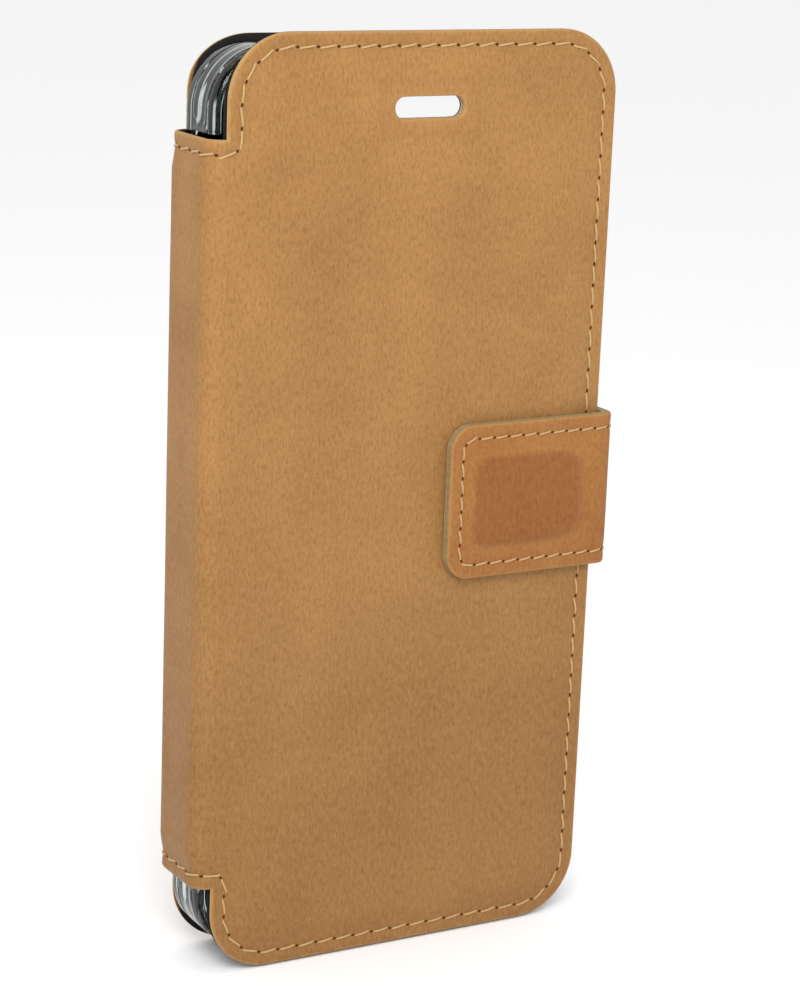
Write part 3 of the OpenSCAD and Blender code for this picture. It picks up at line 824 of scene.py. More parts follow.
def lining_half(name, side, hole, panel_depth, over_root):
    face = lining_face(panel_depth, over_root)

    def back(p, z, outline, d):
        return np.maximum(face(p, z, outline, d * 0 + 1) - lining_t, leather_t + 0.01 * MM)

    return wrap_half(name, side, hole, back, face, 1.3 * MM, [lining, lining, dark_edge])


front_lining = lining_half("front_cover_lining", -1, slot, front_inside, False)
back_lining = lining_half("back_panel_lining", 1, window, back_inside, True)

# %% [markdown]
# ### Strap
# The strap comes out from under the back leather, crosses the free edge and lies on the
# front, where its magnet shows as a soft raised pad. It is split in the middle of its side,
# because each half bends at one fold. Along a half, s is 0 in the middle of the side.

# %% Roll the strap round the free edge
side_x = high("strap_side_leather", X)
tongue_x = low("strap_tongue_leather", X)
root_x = low("strap_root", X)
strap_t = side_x - low("strap_side_lining", X)
strap_leather_t = 0.9 * MM
root_t = 0.7 * MM
strap_edge = {}
for which, hinge, sign in (("tongue", "tongue_fold", -1), ("back", "strap_fold", 1)):
    radius = (side_x - hinges[hinge].x) / (1 - HALF_WAY)
    strap_edge[which] = (sign, radius, side_x - radius, hinges[hinge].y - sign * radius * HALF_WAY)
side_half = (strap_edge["back"][3] - strap_edge["tongue"][3]) / 2


def strap_length(which, end_x):
    _, radius, centre_x, _ = strap_edge[which]
    return side_half + radius * math.pi / 2 + centre_x - end_x


def strap_wrap(which, s, z, depth):
    """Places at s along and depth under the strap's outer face."""
    sign, radius, centre_x, centre_y = strap_edge[which]
    turn = np.clip((s - side_half) / radius, 0, math.pi / 2)
    past = np.maximum(s - side_half - radius * math.pi / 2, 0)
    before = np.maximum(side_half - s, 0)
    x = centre_x + (radius - depth) * np.cos(turn) - past
    y = centre_y + sign * ((radius - depth) * np.sin(turn) - before)
    return np.stack([x, y, z + 0 * x], axis=-1)


def strap_out(which, s):
    sign, radius, _, _ = strap_edge[which]
    turn = np.clip((s - side_half) / radius, 0, math.pi / 2)
    return np.stack([np.cos(turn), sign * np.sin(turn), 0 * turn], axis=-1)


# %% [markdown]
# The magnet lifts the leather by half a millimetre. Its outline is a soft box: full height
# over the magnet and gone a little way outside it, where the leather is pressed down. The
# slope is longest towards the fold, where the leather is pulled tight.

# %% Leather and lining of the strap
tongue_end = strap_length("tongue", tongue_x)
root_end = strap_length("back", root_x)
magnet_s = (strap_length("tongue", high("strap_magnet", X)),
            strap_length("tongue", low("strap_magnet", X)))
magnet_z = (low("strap_magnet", Z), high("strap_magnet", Z))
STRAP_GROOVE = 0.13 * MM
MAGNET_LIFT = 0.5 * MM


def magnet_lift(s, z):
    """Height of the leather over the magnet."""
    out_s = np.maximum((magnet_s[0] - s) * 0.4, s - magnet_s[1] - 0.6 * MM)
    out_z = np.maximum(magnet_z[0] - z, z - magnet_z[1])
    corner = np.hypot(np.maximum(out_s + 2 * MM, 0), np.maximum(out_z + 2 * MM, 0)) - 2 * MM
    out = np.maximum(corner, np.maximum(out_s, out_z))
    return MAGNET_LIFT * (1 - ease((out + 0.2 * MM) / (1.1 * MM)))


def tongue_face(s, z, d):
    waves = waviness(np.stack([s, 0 * s + 0.3, z], axis=-1), 15 * MM, 0.07 * MM)
    return groove(d, STRAP_GROOVE) + rounding(d) - magnet_lift(s, z) + waves * ease(s / (6 * MM))


def back_face(s, z, d):
    return groove(d, STRAP_GROOVE) + rounding(d)


def root_share(s):
    """1 in the root, under the back leather, and 0 out in the fold."""
    start = strap_length("back", panel_w + fold_x)
    return ease((s - start + 0.5 * MM) / (1.4 * MM))


def strap_sheet(name, which, end, outer, inner, materials, round_end):
    start_z, end_z = strap_z
    s_lines = grid_lines(0, end, 0.8 * MM, [
        (end, outwards(*EDGE)),
        (side_half, outwards(0.5, 1) + inwards(0.4, 0.8, 1.2, 1.6, 2, 2.4, 2.8, 3.2, 3.6, 4))])
    z_lines = grid_lines(start_z, end_z, 0.8 * MM, [(start_z, inwards(*EDGE)),
                                                    (end_z, outwards(*EDGE))])

    def bend_ends(s, z):
        if not round_end:
            return s, z
        return round_outline(s, z, 0, end, start_z, end_z, 4 * MM, ends=(1,))

    def edge_distance(s, z):
        sides = np.minimum(z - start_z, end_z - z)
        return np.minimum(sides, end - s) if round_end else sides

    return build_sheet(name, s_lines, z_lines, kept=lambda s, z: s > 0, bend=bend_ends,
                       inset=edge_distance, materials=materials,
                       place=lambda s, z, _, d: (strap_wrap(which, s, z, outer(s, z, d)),
                                                 strap_wrap(which, s, z, inner(s, z, d))))


def tongue_under(s, z, d):
    return strap_leather_t - magnet_lift(s, z) + 0 * s


def back_under(s, z, d):
    return strap_leather_t + (root_t / 2 - strap_leather_t) * root_share(s)


def tongue_inside(s, z, d):
    return strap_t - groove(d, 0.08 * MM) - rounding(d) * 0.5


def back_inside_face(s, z, d):
    full = strap_t - rounding(d) * 0.5
    return full + (root_t - strap_t) * root_share(s)


def plus_gap(face):
    return lambda s, z, d: face(s, z, d) + 0.02 * MM


tongue_leather = strap_sheet("tongue_leather", "tongue", tongue_end, tongue_face,
                             tongue_under, [strap_leather, strap_leather, painted_edge], True)
raised = tongue_leather.data.attributes.new("raised", "FLOAT", "POINT")
flat_places = np.zeros(3 * len(raised.data), np.float32)
tongue_leather.data.attributes["flat"].data.foreach_get("vector", flat_places)
flat_places = flat_places.reshape(-1, 3) * MM
raised.data.foreach_set("value", magnet_lift(flat_places[:, 0], flat_places[:, 2]) / MAGNET_LIFT)
tongue_lining = strap_sheet("tongue_lining", "tongue", tongue_end, plus_gap(tongue_under),
                            tongue_inside, [strap_lining, strap_lining, painted_edge], True)
strap_back = strap_sheet("strap_back_leather", "back", root_end, back_face, back_under,
                         [strap_leather, strap_leather, painted_edge], False)
strap_back_lining = strap_sheet("strap_back_lining", "back", root_end, plus_gap(back_under),
                                back_inside_face, [strap_lining, strap_lining, painted_edge],
                                False)

# %% [markdown]
# ### Card pockets
# Four thin leather sheets lie on top of each other inside the cover, each mouth lower than
# the one beneath, so that three cards and some notes can be pushed in. The mouths are folded
# and pressed, which shows as a line just below each.

# %% Pocket sheets
POCKETS = ("money_pocket", "card_slot_top", "card_slot_middle", "card_slot_bottom")


def pocket_sheet(node):
    (x0, y0, z0), (x1, y1, z1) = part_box(node)
    radius = 3 * MM
    near = [d for d in EDGE if d < 4]
    x_lines = grid_lines(x0, x1, 1.5 * MM, [(x0, inwards(*near)), (x1, outwards(*near))])
    z_lines = grid_lines(z0, z1, 1.5 * MM, [(z0, inwards(*near)), (z1, outwards(*near))])

    def place(x, z, _, d):
        line = 0.07 * MM * np.exp(-((z1 - z - 1.6 * MM) / (0.35 * MM)) ** 2)
        outer = np.stack([x, y1 - line - rounding(d) * 0.8 + 0 * x, z], axis=-1)
        return outer, np.stack([x, y0 + 0.01 * MM + 0 * x, z], axis=-1)

    return build_sheet(node + "_sheet", x_lines, z_lines, kept=lambda x, z: x > x0,
                       bend=lambda x, z: round_outline(x, z, x0, x1, z0, z1, radius),
                       inset=lambda x, z: np.minimum(np.minimum(x - x0, x1 - x),
                                                     np.minimum(z - z0, z1 - z)),
                       place=place, materials=[pocket_leather, pocket_leather, dark_edge])


pocket_sheets = [pocket_sheet(node) for node in POCKETS]

# %% [markdown]
# ## Seams
# Several hundred stitches follow the edges. Geometry Nodes suits this: a seam is a line of
# points that also say which way is out of the leather, and the nodes turn it into evenly
# spaced stitches with a needle hole between each two. Every seam uses the same tree with its
# own number of stitches, so changing one stitch changes all of them.


# %% The stitching tree
def node_input(tree, label, kind, value):
    socket = tree.interface.new_socket(label, in_out="INPUT", socket_type=kind)
    if value is not None:
        socket.default_value = value


def stitch_shape(tree, given):
    """One stitch: a thread that rises out of one hole and dips into the next."""
    half = math_of(tree, "MULTIPLY", given["Stitch length"], 0.5)
    start = add(tree, "ShaderNodeCombineXYZ", {0: math_of(tree, "MULTIPLY", half, -1.0),
                                               2: given["Dip"]}).outputs[0]
    crown = add(tree, "ShaderNodeCombineXYZ", {2: given["Rise"]}).outputs[0]
    end = add(tree, "ShaderNodeCombineXYZ", {0: half, 2: given["Dip"]}).outputs[0]
    arc = add(tree, "GeometryNodeCurveQuadraticBezier", {"Resolution": 6, "Start": start,
                                                         "Middle": crown, "End": end})
    spline = tree.nodes.new("GeometryNodeSplineParameter").outputs["Factor"]
    marked = add(tree, "GeometryNodeStoreNamedAttribute",
                 {"Geometry": arc.outputs[0], "Name": "along", "Value": spline},
                 data_type="FLOAT", domain="POINT").outputs[0]
    ring = add(tree, "GeometryNodeCurvePrimitiveCircle",
               {"Resolution": 7, "Radius": given["Thread radius"]}, mode="RADIUS")
    round_marked = add(tree, "GeometryNodeStoreNamedAttribute",
                       {"Geometry": ring.outputs[0], "Name": "round", "Value": spline},
                       data_type="FLOAT", domain="POINT").outputs[0]
    body = add(tree, "GeometryNodeCurveToMesh", {"Curve": marked,
                                                 "Profile Curve": round_marked,
                                                 "Fill Caps": True}).outputs[0]
    return add(tree, "GeometryNodeSetShadeSmooth", {"Geometry": body}).outputs[0]


def hole_shape(tree, given):
    """One needle hole: a small dimple with a closed surface, painted dark as the shade inside the
    hole.
    """
    ball = add(tree, "GeometryNodeMeshIcoSphere", {"Radius": given["Hole radius"],
                                                   "Subdivisions": 2}).outputs[0]
    flat = add(tree, "GeometryNodeTransform", {"Geometry": ball,
                                               "Scale": (1.15, 0.9, 0.2)}).outputs[0]
    return add(tree, "GeometryNodeSetShadeSmooth", {"Geometry": flat}).outputs[0]


def laid(tree, points, chosen, shape, turned, finish):
    """Puts a shape on the chosen points, makes the copies real and gives them a finish."""
    copies = add(tree, "GeometryNodeInstanceOnPoints",
                 {"Points": points, "Selection": chosen, "Instance": shape,
                  "Rotation": turned}).outputs[0]
    real = add(tree, "GeometryNodeRealizeInstances", {"Geometry": copies}).outputs[0]
    return add(tree, "GeometryNodeSetMaterial", {"Geometry": real,
                                                 "Material": finish}).outputs[0]


def make_stitch_tree():
    tree = bpy.data.node_groups.new("stitches", "GeometryNodeTree")
    node_input(tree, "Geometry", "NodeSocketGeometry", None)
    node_input(tree, "Points", "NodeSocketInt", 9)
    node_input(tree, "Seed", "NodeSocketInt", 5)
    for label, value in (("Stitch length", 2.6), ("Thread radius", 0.17), ("Rise", 0.34),
                         ("Dip", -0.14), ("Hole radius", 0.28)):
        node_input(tree, label, FLOAT, value * MM)
    node_input(tree, "Slant", FLOAT, math.radians(9))
    node_input(tree, "Unevenness", FLOAT, math.radians(3))
    tree.interface.new_socket("Geometry", in_out="OUTPUT", socket_type="NodeSocketGeometry")
    given = tree.nodes.new("NodeGroupInput").outputs
    seam = add(tree, "GeometryNodeMeshToCurve", {"Mesh": given["Geometry"]}).outputs[0]
    even = add(tree, "GeometryNodeResampleCurve", {"Curve": seam,
                                                   "Count": given["Points"]}).outputs[0]
    index = tree.nodes.new("GeometryNodeInputIndex").outputs[0]
    odd = add(tree, "ShaderNodeMath", {0: index, 1: 2.0}, operation="MODULO").outputs[0]
    out = add(tree, "GeometryNodeInputNamedAttribute", {"Name": "out"},
              data_type="FLOAT_VECTOR").outputs["Attribute"]
    tangent = tree.nodes.new("GeometryNodeInputTangent").outputs[0]
    along = add(tree, "FunctionNodeAlignRotationToVector", {"Vector": tangent}, axis="X")
    upright = add(tree, "FunctionNodeAlignRotationToVector",
                  {"Rotation": along.outputs[0], "Vector": out}, axis="Z", pivot_axis="X")
    chance = add(tree, "FunctionNodeRandomValue", {"Seed": given["Seed"]}, data_type="FLOAT")
    chance.inputs[2].default_value = -1.0
    chance.inputs[3].default_value = 1.0
    uneven = math_of(tree, "MULTIPLY", chance.outputs[1], given["Unevenness"])
    slant = math_of(tree, "ADD", given["Slant"], uneven)
    about_out = add(tree, "FunctionNodeAxisAngleToRotation", {"Axis": (0, 0, 1),
                                                              "Angle": slant}).outputs[0]
    slanted = add(tree, "FunctionNodeRotateRotation",
                  {"Rotation": upright.outputs[0], "Rotate By": about_out},
                  rotation_space="LOCAL").outputs[0]
    stitches = laid(tree, even, odd, stitch_shape(tree, given), slanted, thread)
    even_ones = math_of(tree, "SUBTRACT", 1.0, odd)
    holes = laid(tree, even, even_ones, hole_shape(tree, given), upright.outputs[0],
                 painted_hole_shade)
    joined = tree.nodes.new("GeometryNodeJoinGeometry")
    tree.links.new(stitches, joined.inputs[0])
    tree.links.new(holes, joined.inputs[0])
    result = tree.nodes.new("NodeGroupOutput")
    tree.links.new(joined.outputs[0], result.inputs[0])
    return tree


stitch_tree = make_stitch_tree()

# %% [markdown]
# The nodes run as a modifier on a bare line of points. Their result is then copied into a
# plain mesh, so the finished seam no longer depends on the modifier. Seam lines are drawn as
# corner points with a radius each and rounded here, the way a maker runs a wheel round them.


# %% Run a tree and keep its mesh
def run_tree(name, line, tree, values):
    """The mesh a Geometry Nodes tree makes of a line of points."""
    carrier = new_piece(name + "_line", line, [])
    modifier = carrier.modifiers.new("nodes", "NODES")
    modifier.node_group = tree
    for item in tree.interface.items_tree:
        if item.item_type == "SOCKET" and item.name in values:
            modifier[item.identifier] = values[item.name]
    ready = carrier.evaluated_get(bpy.context.evaluated_depsgraph_get())
    mesh = bpy.data.meshes.new_from_object(ready)
    bpy.data.objects.remove(carrier)
    mesh.name = name
    return mesh


def rounded_path(corners, step=0.4 * MM):
    """A dense line through corner places (p, z, radius), its ends included."""
    spots = [Vector(c[:2]) for c in corners]
    line = [spots[0]]
    for k in range(1, len(spots) - 1):
        back, on = (spots[k - 1] - spots[k]).normalized(), (spots[k + 1] - spots[k]).normalized()
        radius = corners[k][2]
        start, end = spots[k] + back * radius, spots[k] + on * radius
        centre = start + end - spots[k]
        line.append(start)
        for share in np.linspace(0, 1, 12)[1:-1]:
            turn = share * math.pi / 2
            line.append(centre + (start - centre) * math.cos(turn)
                        + (end - centre) * math.sin(turn))
        line.append(end)
    line.append(spots[-1])
    dense = [line[0]]
    for a, b in zip(line, line[1:]):
        count = max(1, math.ceil((b - a).length / step))
        dense += [a + (b - a) * k / count for k in range(1, count + 1)]
    return np.array([tuple(v) for v in dense])


def sewn(name, places, outs, pitch, **values):
    """Stitches and needle holes along places in space, as one mesh."""
    length = float(np.linalg.norm(np.diff(places, axis=0), axis=1).sum())
    count = max(1, round(length / pitch))
    line = bpy.data.meshes.new(name)
    edges = [(k, k + 1) for k in range(len(places) - 1)]
    line.from_pydata(places.tolist(), edges, [])
    out = line.attributes.new("out", "FLOAT_VECTOR", "POINT")
    out.data.foreach_set("vector", outs.astype(np.float32).ravel())
    values = dict({"Points": 2 * count + 1, "Stitch length": pitch * 0.78}, **values)
    return run_tree(name, line, stitch_tree, values), count


def joined_piece(name, meshes):
    """Several seam meshes as one object, with the thread first and the needle holes second."""
    finishes = [thread, painted_hole_shade]
    work = bmesh.new()
    for mesh in meshes:
        slots = list(mesh.materials)
        for face in mesh.polygons:
            face.material_index = finishes.index(slots[face.material_index])
        work.from_mesh(mesh)
    whole = bpy.data.meshes.new(name)
    work.to_mesh(whole)
    work.free()
    return new_piece(name, whole, finishes)


# %% [markdown]
# ### Seams of the case
# The seam runs 2.2 mm from the edge all the way round both panels and over the ends of the
# spine. It shows on the leather and again on the lining, as a lock stitch does. The stitches
# sit at the bottom of the groove, whose depth comes from the same relief as the leather.


# %% Seams of cover, spine and back
def outline_path():
    far, near = panel_w - seam_inset, seam_inset
    top, bottom = case_h - seam_inset, seam_inset
    wide, tight = corner_r - seam_inset, 2 * MM
    high_end, low_end = notches[1] - seam_inset, notches[0] + seam_inset
    return rounded_path([(-spine_half, high_end, 0), (near, high_end, tight),
                         (near, top, wide), (far, top, wide), (far, bottom, wide),
                         (near, bottom, wide), (near, low_end, tight),
                         (-spine_half, low_end, 0)])


def case_seams(name, side, inner_face):
    path = outline_path()
    p, z = path[:, 0], path[:, 1]
    at = np.full(len(p), seam_inset)
    outs = wrap_out(p, side)
    outer_places = wrap(p, z, face_depth(p, z, at), side)
    inner_places = wrap(p, z, inner_face(p, z, at, at), side)
    outer, count = sewn(name, outer_places, outs, stitch_pitch)
    inner, _ = sewn(name + "_in", inner_places, -outs, stitch_pitch)
    print(f"{name}: {count} stitches outside")
    return joined_piece(name, [outer, inner])


front_seams = case_seams("front_seams", -1, lining_face(front_inside, False))
back_seams = case_seams("back_seams", 1, lining_face(back_inside, True))

# %% [markdown]
# ### Seams of the strap and the pockets
# The strap's seam is finer. It starts at the back edge, runs round the fold and all the way
# round the tongue. The pockets are sewn down at both sides and along the bottom, and there
# the seam climbs one sheet at each mouth.


# %% Strap and pocket seams
strap_pitch = 2.7 * MM
strap_inset = 2.2 * MM


def strap_seams(name, which, path, face, under):
    s, z = path[:, 0], path[:, 1]
    at = np.full(len(s), strap_inset)
    outs = strap_out(which, s)
    thin = {"Thread radius": 0.16 * MM, "Hole radius": 0.25 * MM, "Rise": 0.32 * MM}
    outer, count = sewn(name, strap_wrap(which, s, z, face(s, z, at)), outs, strap_pitch, **thin)
    inner, _ = sewn(name, strap_wrap(which, s, z, under(s, z, at)), -outs, strap_pitch, **thin)
    print(f"{name}: {count} stitches outside")
    return outer, inner


upper, lower = strap_z[1] - strap_inset, strap_z[0] + strap_inset
tongue_tip = tongue_end - strap_inset
tongue_path = rounded_path([(0, upper, 0), (tongue_tip, upper, 2 * MM),
                            (tongue_tip, lower, 2 * MM), (0, lower, 0)])
tongue_seams = joined_piece("tongue_seams", strap_seams(
    "tongue_seams", "tongue", tongue_path, tongue_face, tongue_inside))
edge_end = strap_length("back", fold_x + panel_w + 0.6 * MM)
side_meshes = []
for row in (upper, lower):
    row_path = rounded_path([(0, row, 0), (edge_end, row, 0)])
    side_meshes += strap_seams("strap_back_seams", "back", row_path, back_face,
                               back_inside_face)
strap_back_seams = joined_piece("strap_back_seams", side_meshes)


def pocket_seam():
    x0, x1 = low("money_pocket", X) + 1.2 * MM, high("money_pocket", X) - 1.2 * MM
    z0, z1 = low("money_pocket", Z) + 1.2 * MM, high("money_pocket", Z) - 1.6 * MM
    path = rounded_path([(x0, z1, 0), (x0, z0, 2 * MM), (x1, z0, 2 * MM), (x1, z1, 0)])
    level = np.full(len(path), high("money_pocket", Y))
    for node in POCKETS[1:]:
        level = np.where(path[:, 1] < high(node, Z), high(node, Y), level)
    places = np.stack([path[:, 0], level, path[:, 1]], axis=-1)
    outs = np.zeros_like(places)
    outs[:, Y] = 1
    mesh, count = sewn("pocket_seam", places, outs, 3.2 * MM)
    print(f"pocket_seam: {count} stitches")
    return joined_piece("pocket_seam", [mesh])


pocket_seams = pocket_seam()

# %% [markdown]
# ## Tray
# The tray is moulded: one wall section goes round a rounded rectangle and a flat floor fills
# it. That is a sweep, so a second node tree builds it from the section, the size and the
# corner radius. Change the section and the whole tray follows.

# %% The sweep tree
tray_low, tray_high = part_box("phone_tray")
tray_w, tray_h = tray_high[X] - tray_low[X], tray_high[Z] - tray_low[Z]
tray_d = tray_high[Y] - tray_low[Y]
floor_t, wall_t, lip_t, lip_w, back_step = 0.8 * MM, 0.9 * MM, 0.7 * MM, 0.8 * MM, 0.8 * MM
tray_r = 9.5 * MM
ring_in = 3.5 * MM
glue_gap = 0.03 * MM


def tray_section():
    """Half of the tray's wall, cut across: places outwards from a ring and down from the lip."""
    out, wall = ring_in, ring_in - wall_t
    inside = tray_d - floor_t
    section = [(0, inside), (wall - 0.6 * MM, inside), (wall - 0.2 * MM, inside - 0.2 * MM),
               (wall, inside - 0.6 * MM), (wall, lip_t + 0.15 * MM),
               (wall - lip_w * 0.6, lip_t), (wall - lip_w, lip_t * 0.6),
               (wall - lip_w + 0.05 * MM, 0.18 * MM), (wall - lip_w + 0.3 * MM, 0),
               (out - 0.5 * MM, 0), (out - 0.2 * MM, 0.09 * MM), (out, 0.4 * MM)]
    for ridge in (1.2 * MM, 6.1 * MM):
        section += [(out, ridge), (out - 0.16 * MM, ridge + 0.14 * MM),
                    (out - 0.16 * MM, ridge + 0.42 * MM), (out, ridge + 0.56 * MM)]
    for turn in np.linspace(0, math.pi / 2, 6):
        section.append((out - back_step * (1 - math.cos(turn)),
                        tray_d - back_step * (1 - math.sin(turn))))
    return section + [(0, tray_d - glue_gap)]


def make_sweep_tree():
    tree = bpy.data.node_groups.new("tray_sweep", "GeometryNodeTree")
    node_input(tree, "Geometry", "NodeSocketGeometry", None)
    node_input(tree, "Corner steps", "NodeSocketInt", 16)
    for label in ("Width", "Height", "Radius", "Floor inside", "Floor outside"):
        node_input(tree, label, FLOAT, 0.0)
    tree.interface.new_socket("Geometry", in_out="OUTPUT", socket_type="NodeSocketGeometry")
    given = tree.nodes.new("NodeGroupInput").outputs
    frame_line = add(tree, "GeometryNodeCurvePrimitiveQuadrilateral",
                     {"Width": given["Width"], "Height": given["Height"]}).outputs[0]
    ring = add(tree, "GeometryNodeFilletCurve", {"Curve": frame_line, "Radius": given["Radius"],
                                                 "Count": given["Corner steps"]},
               mode="POLY").outputs[0]
    section = add(tree, "GeometryNodeMeshToCurve", {"Mesh": given["Geometry"]}).outputs[0]
    wall = add(tree, "GeometryNodeCurveToMesh", {"Curve": ring, "Profile Curve": section})
    plate = add(tree, "GeometryNodeFillCurve", {"Curve": ring}, mode="NGONS").outputs[0]
    joined = tree.nodes.new("GeometryNodeJoinGeometry")
    tree.links.new(wall.outputs[0], joined.inputs[0])
    for level in ("Floor inside", "Floor outside"):
        down = add(tree, "ShaderNodeCombineXYZ",
                   {2: math_of(tree, "MULTIPLY", given[level], -1.0)}).outputs[0]
        moved = add(tree, "GeometryNodeTransform", {"Geometry": plate, "Translation": down})
        tree.links.new(moved.outputs[0], joined.inputs[0])
    closed = add(tree, "GeometryNodeMergeByDistance", {"Geometry": joined.outputs[0],
                                                       "Distance": 0.002 * MM}).outputs[0]
    real = add(tree, "GeometryNodeRealizeInstances", {"Geometry": closed}).outputs[0]
    done = add(tree, "GeometryNodeSetMaterial", {"Geometry": real,
                                                 "Material": clear_plastic}).outputs[0]
    result = tree.nodes.new("NodeGroupOutput")
    tree.links.new(done, result.inputs[0])
    return tree


sweep_tree = make_sweep_tree()

# %% [markdown]
# The openings are cut afterwards with closed cutters: the camera window in the floor, the
# plug's opening below, the power button's opening beside the strap, and the gap for the
# volume buttons beside the spine, which is open towards the cover and has rounded corners.


# %% Tray and its openings
def rounded_cutter(name, across, low_corner, high_corner, radius):
    """A closed block whose corners are rounded as seen along one axis."""
    a, b = [k for k in (X, Y, Z) if k != across]
    outline = []
    for sa, sb, start in ((1, 1, 0), (-1, 1, 1), (-1, -1, 2), (1, -1, 3)):
        centre_a = high_corner[a] - radius if sa > 0 else low_corner[a] + radius
        centre_b = high_corner[b] - radius if sb > 0 else low_corner[b] + radius
        for share in np.linspace(0, 1, 7):
            turn = (start + share) * math.pi / 2
            outline.append((centre_a + radius * math.cos(turn),
                            centre_b + radius * math.sin(turn)))
    points = []
    for level in (low_corner[across], high_corner[across]):
        for place in outline:
            point = [0.0, 0.0, 0.0]
            point[across], point[a], point[b] = level, place[0], place[1]
            points.append(point)
    count = len(outline)
    faces = [tuple(range(count)), tuple(range(2 * count - 1, count - 1, -1))]
    faces += [(k, (k + 1) % count, (k + 1) % count + count, k + count) for k in range(count)]
    mesh = bpy.data.meshes.new(name)
    mesh.from_pydata(points, [], faces)
    face_outwards(mesh)
    return new_piece(name, mesh, [])


# Halves of the camera window and of the plug's gap, and how far below the top the two
# button gaps start and end
window_half = (14.5 * MM, 6 * MM)
port_half = 21 * MM
gap_half = 2.4 * MM
gap_r = 2.2 * MM
power_drop = (21 * MM, 35 * MM)
volume_drop = (12.6 * MM, 46 * MM)


def make_tray():
    section = bpy.data.meshes.new("tray_section")
    places = [(u, v, 0) for u, v in tray_section()]
    section.from_pydata(places, [(k, k + 1) for k in range(len(places) - 1)], [])
    mesh = run_tree("clear_tray", section, sweep_tree,
                    {"Width": tray_w - 2 * ring_in, "Height": tray_h - 2 * ring_in,
                     "Radius": tray_r - ring_in, "Floor inside": tray_d - floor_t,
                     "Floor outside": tray_d - glue_gap})
    stand = Matrix.Translation(((tray_low[X] + tray_high[X]) / 2, tray_low[Y],
                                (tray_low[Z] + tray_high[Z]) / 2))
    mesh.transform(stand @ Matrix.Rotation(math.pi / 2, 4, "X"))
    face_outwards(mesh)
    tray = new_piece("clear_tray", mesh, [])
    middle = tray_low[Y] + tray_d / 2
    top, over = tray_high[Z], 1 * MM
    centre = (tray_low[X] + tray_high[X]) / 2
    window_x, window_z = fold_x + window[0], window[1]
    cutters = [
        rounded_cutter("cut_window", Y, (window_x - window_half[0], tray_high[Y] - 3 * MM,
                                         window_z - window_half[1]),
                       (window_x + window_half[0], tray_high[Y] + over,
                        window_z + window_half[1]), 5 * MM),
        rounded_cutter("cut_port", Z, (centre - port_half, middle - gap_half,
                                       tray_low[Z] - over),
                       (centre + port_half, middle + gap_half, tray_low[Z] + over), gap_r),
        rounded_cutter("cut_power", X, (tray_high[X] - over, middle - gap_half,
                                        top - power_drop[1]),
                       (tray_high[X] + over, middle + gap_half, top - power_drop[0]), gap_r),
        rounded_cutter("cut_volume", X, (tray_low[X] - over, tray_low[Y] - 5 * MM,
                                         top - volume_drop[1]),
                       (tray_low[X] + wall_t + lip_w + 0.4 * MM, middle + gap_half,
                        top - volume_drop[0]), 1.5 * MM)]
    for cutter in cutters:
        cut = tray.modifiers.new("cut", "BOOLEAN")
        cut.object, cut.operation, cut.solver = cutter, "DIFFERENCE", "EXACT"
    ready = tray.evaluated_get(bpy.context.evaluated_depsgraph_get())
    cut_mesh = bpy.data.meshes.new_from_object(ready)
    for cutter in cutters:
        bpy.data.objects.remove(cutter)
    tray.modifiers.clear()
    tray.data = cut_mesh
    tray.data.materials.clear()
    tray.data.materials.append(clear_plastic)
    work = bmesh.new()
    work.from_mesh(cut_mesh)
    bmesh.ops.remove_doubles(work, verts=work.verts, dist=0.003 * MM)
    bmesh.ops.dissolve_degenerate(work, edges=work.edges, dist=0.001 * MM)
    open_edges = [e for e in work.edges if not e.is_manifold]
    for edge in work.edges:
        edge.smooth = edge.is_manifold and edge.calc_face_angle(0) < math.radians(35)
    for face in work.faces:
        face.smooth = True
    work.to_mesh(cut_mesh)
    work.free()
    print(f"tray: {len(cut_mesh.polygons)} faces, {len(open_edges)} open edges")
    return tray


clear_tray = make_tray()

# %% [markdown]
# ## Put every piece in its place
# A stiff piece rides on one body. A sheet or a seam that crosses a fold is baked where it
# stands, and the model's parts that it stands for are hidden.


# %% Bodies and folds
def bends(piece, stands_for):
    """Bakes the piece where it stands and hides the model's parts that it stands for."""
    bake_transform(piece)
    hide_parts(*stands_for)


bends(front_wrap,
      ["front_leather"])
bends(back_wrap,
      ["back_leather", "spine_leather"])
bends(front_lining,
      ["front_lining"])
bends(back_lining,
      ["back_lining", "spine_lining"])
bends(front_seams,
      ["front_stitching"])
bends(back_seams,
      ["back_stitching", "spine_stitching"])

bends(tongue_leather,
      ["strap_tongue_leather"])
bends(tongue_lining,
      ["strap_tongue_lining"])
bends(tongue_seams,
      ["strap_tongue_stitching"])
bends(strap_back,
      ["strap_root", "strap_side_leather"])
bends(strap_back_lining,
      ["strap_side_lining"])
bends(strap_back_seams,
      ["strap_side_stitching"])

for piece, node in zip(pocket_sheets, POCKETS):
    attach(piece, "front_cover")
    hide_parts(node)
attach(pocket_seams, "front_cover")
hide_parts("pocket_stitching")
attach(clear_tray, "back")
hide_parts("phone_tray")

# %% [markdown]
# ## Floor, light and camera
# The case stands on a plain white floor under an even white sky. One large soft light from
# the left, high and near, brings out the grain and fades towards the foot of the case.


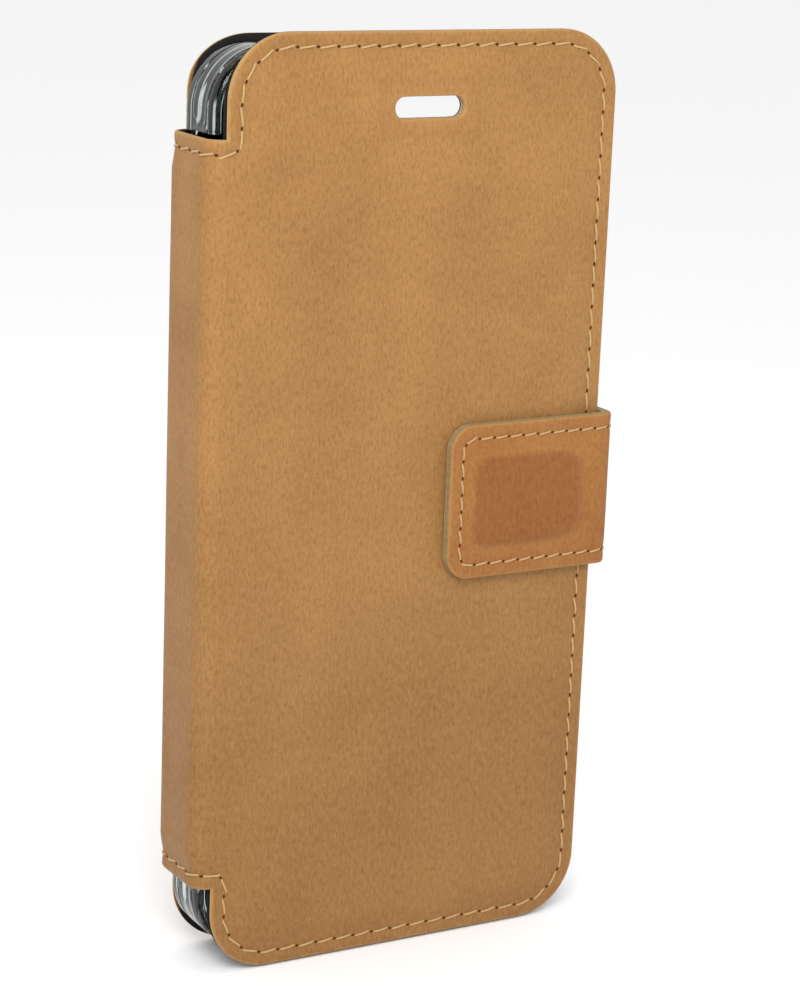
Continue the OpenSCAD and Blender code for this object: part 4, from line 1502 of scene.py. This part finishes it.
# %% Stage
def make_floor():
    mesh = bpy.data.meshes.new("floor")
    far = 4.0
    mesh.from_pydata([(-far, -far, -0.0004), (far, -far, -0.0004), (far, far, -0.0004),
                      (-far, far, -0.0004)], [], [(0, 1, 2, 3)])
    paint, _, shader = new_material("floor_paint", Roughness=0.75, Specular_IOR_Level=0.2)
    shader["Base Color"].default_value = (0.9, 0.9, 0.9, 1)
    return new_piece("floor", mesh, [paint])


def area_light(name, place, aim, size, power):
    data = bpy.data.lights.new(name, "AREA")
    data.shape, data.size, data.size_y = "RECTANGLE", size[0], size[1]
    data.energy = power
    lamp = bpy.data.objects.new(name, data)
    bpy.context.scene.collection.objects.link(lamp)
    lamp.location = place
    lamp.rotation_euler = (Vector(aim) - Vector(place)).to_track_quat("-Z", "Y").to_euler()
    return lamp


middle = Vector((0, 0, case_h / 2))
floor = make_floor()
key_light = area_light("key_light", (-0.25, -0.42, 0.45), middle + Vector((0, 0, 0.05)),
                       (0.3, 0.3), 3.0)

world = bpy.data.worlds.new("studio")
bpy.context.scene.world = world
world.use_nodes = True
world.node_tree.nodes["Background"].inputs["Color"].default_value = (1, 1, 1, 1)
world.node_tree.nodes["Background"].inputs["Strength"].default_value = 1.0
bpy.context.scene.view_settings.view_transform = "Standard"

# %% [markdown]
# A long lens keeps the upright edges almost parallel, as in a product picture. The camera is
# built from two plain angles and a slight roll; the view is shifted rather than tilted to
# bring the case into the frame.


# %% Camera
def make_camera():
    data = bpy.data.cameras.new("camera")
    data.sensor_fit, data.sensor_height, data.sensor_width = "VERTICAL", 36, 36
    data.lens, data.shift_y = 102, 0.06
    data.clip_start, data.clip_end = 0.01, 20
    made = bpy.data.objects.new("camera", data)
    bpy.context.scene.collection.objects.link(made)
    aside, down, roll = math.radians(30.51), math.radians(15.40), math.radians(2.27)
    looks = Vector((math.sin(aside) * math.cos(down), math.cos(aside) * math.cos(down),
                    -math.sin(down)))
    turn = looks.to_track_quat("-Z", "Y").to_matrix() @ Matrix.Rotation(roll, 3, "Z")
    place = Vector((fold_x, front_y, 0)) + Vector((-183.7, -364.6, 180.5)) * MM
    made.matrix_world = Matrix.Translation(place) @ turn.to_4x4()
    return made


bpy.context.scene.camera = make_camera()
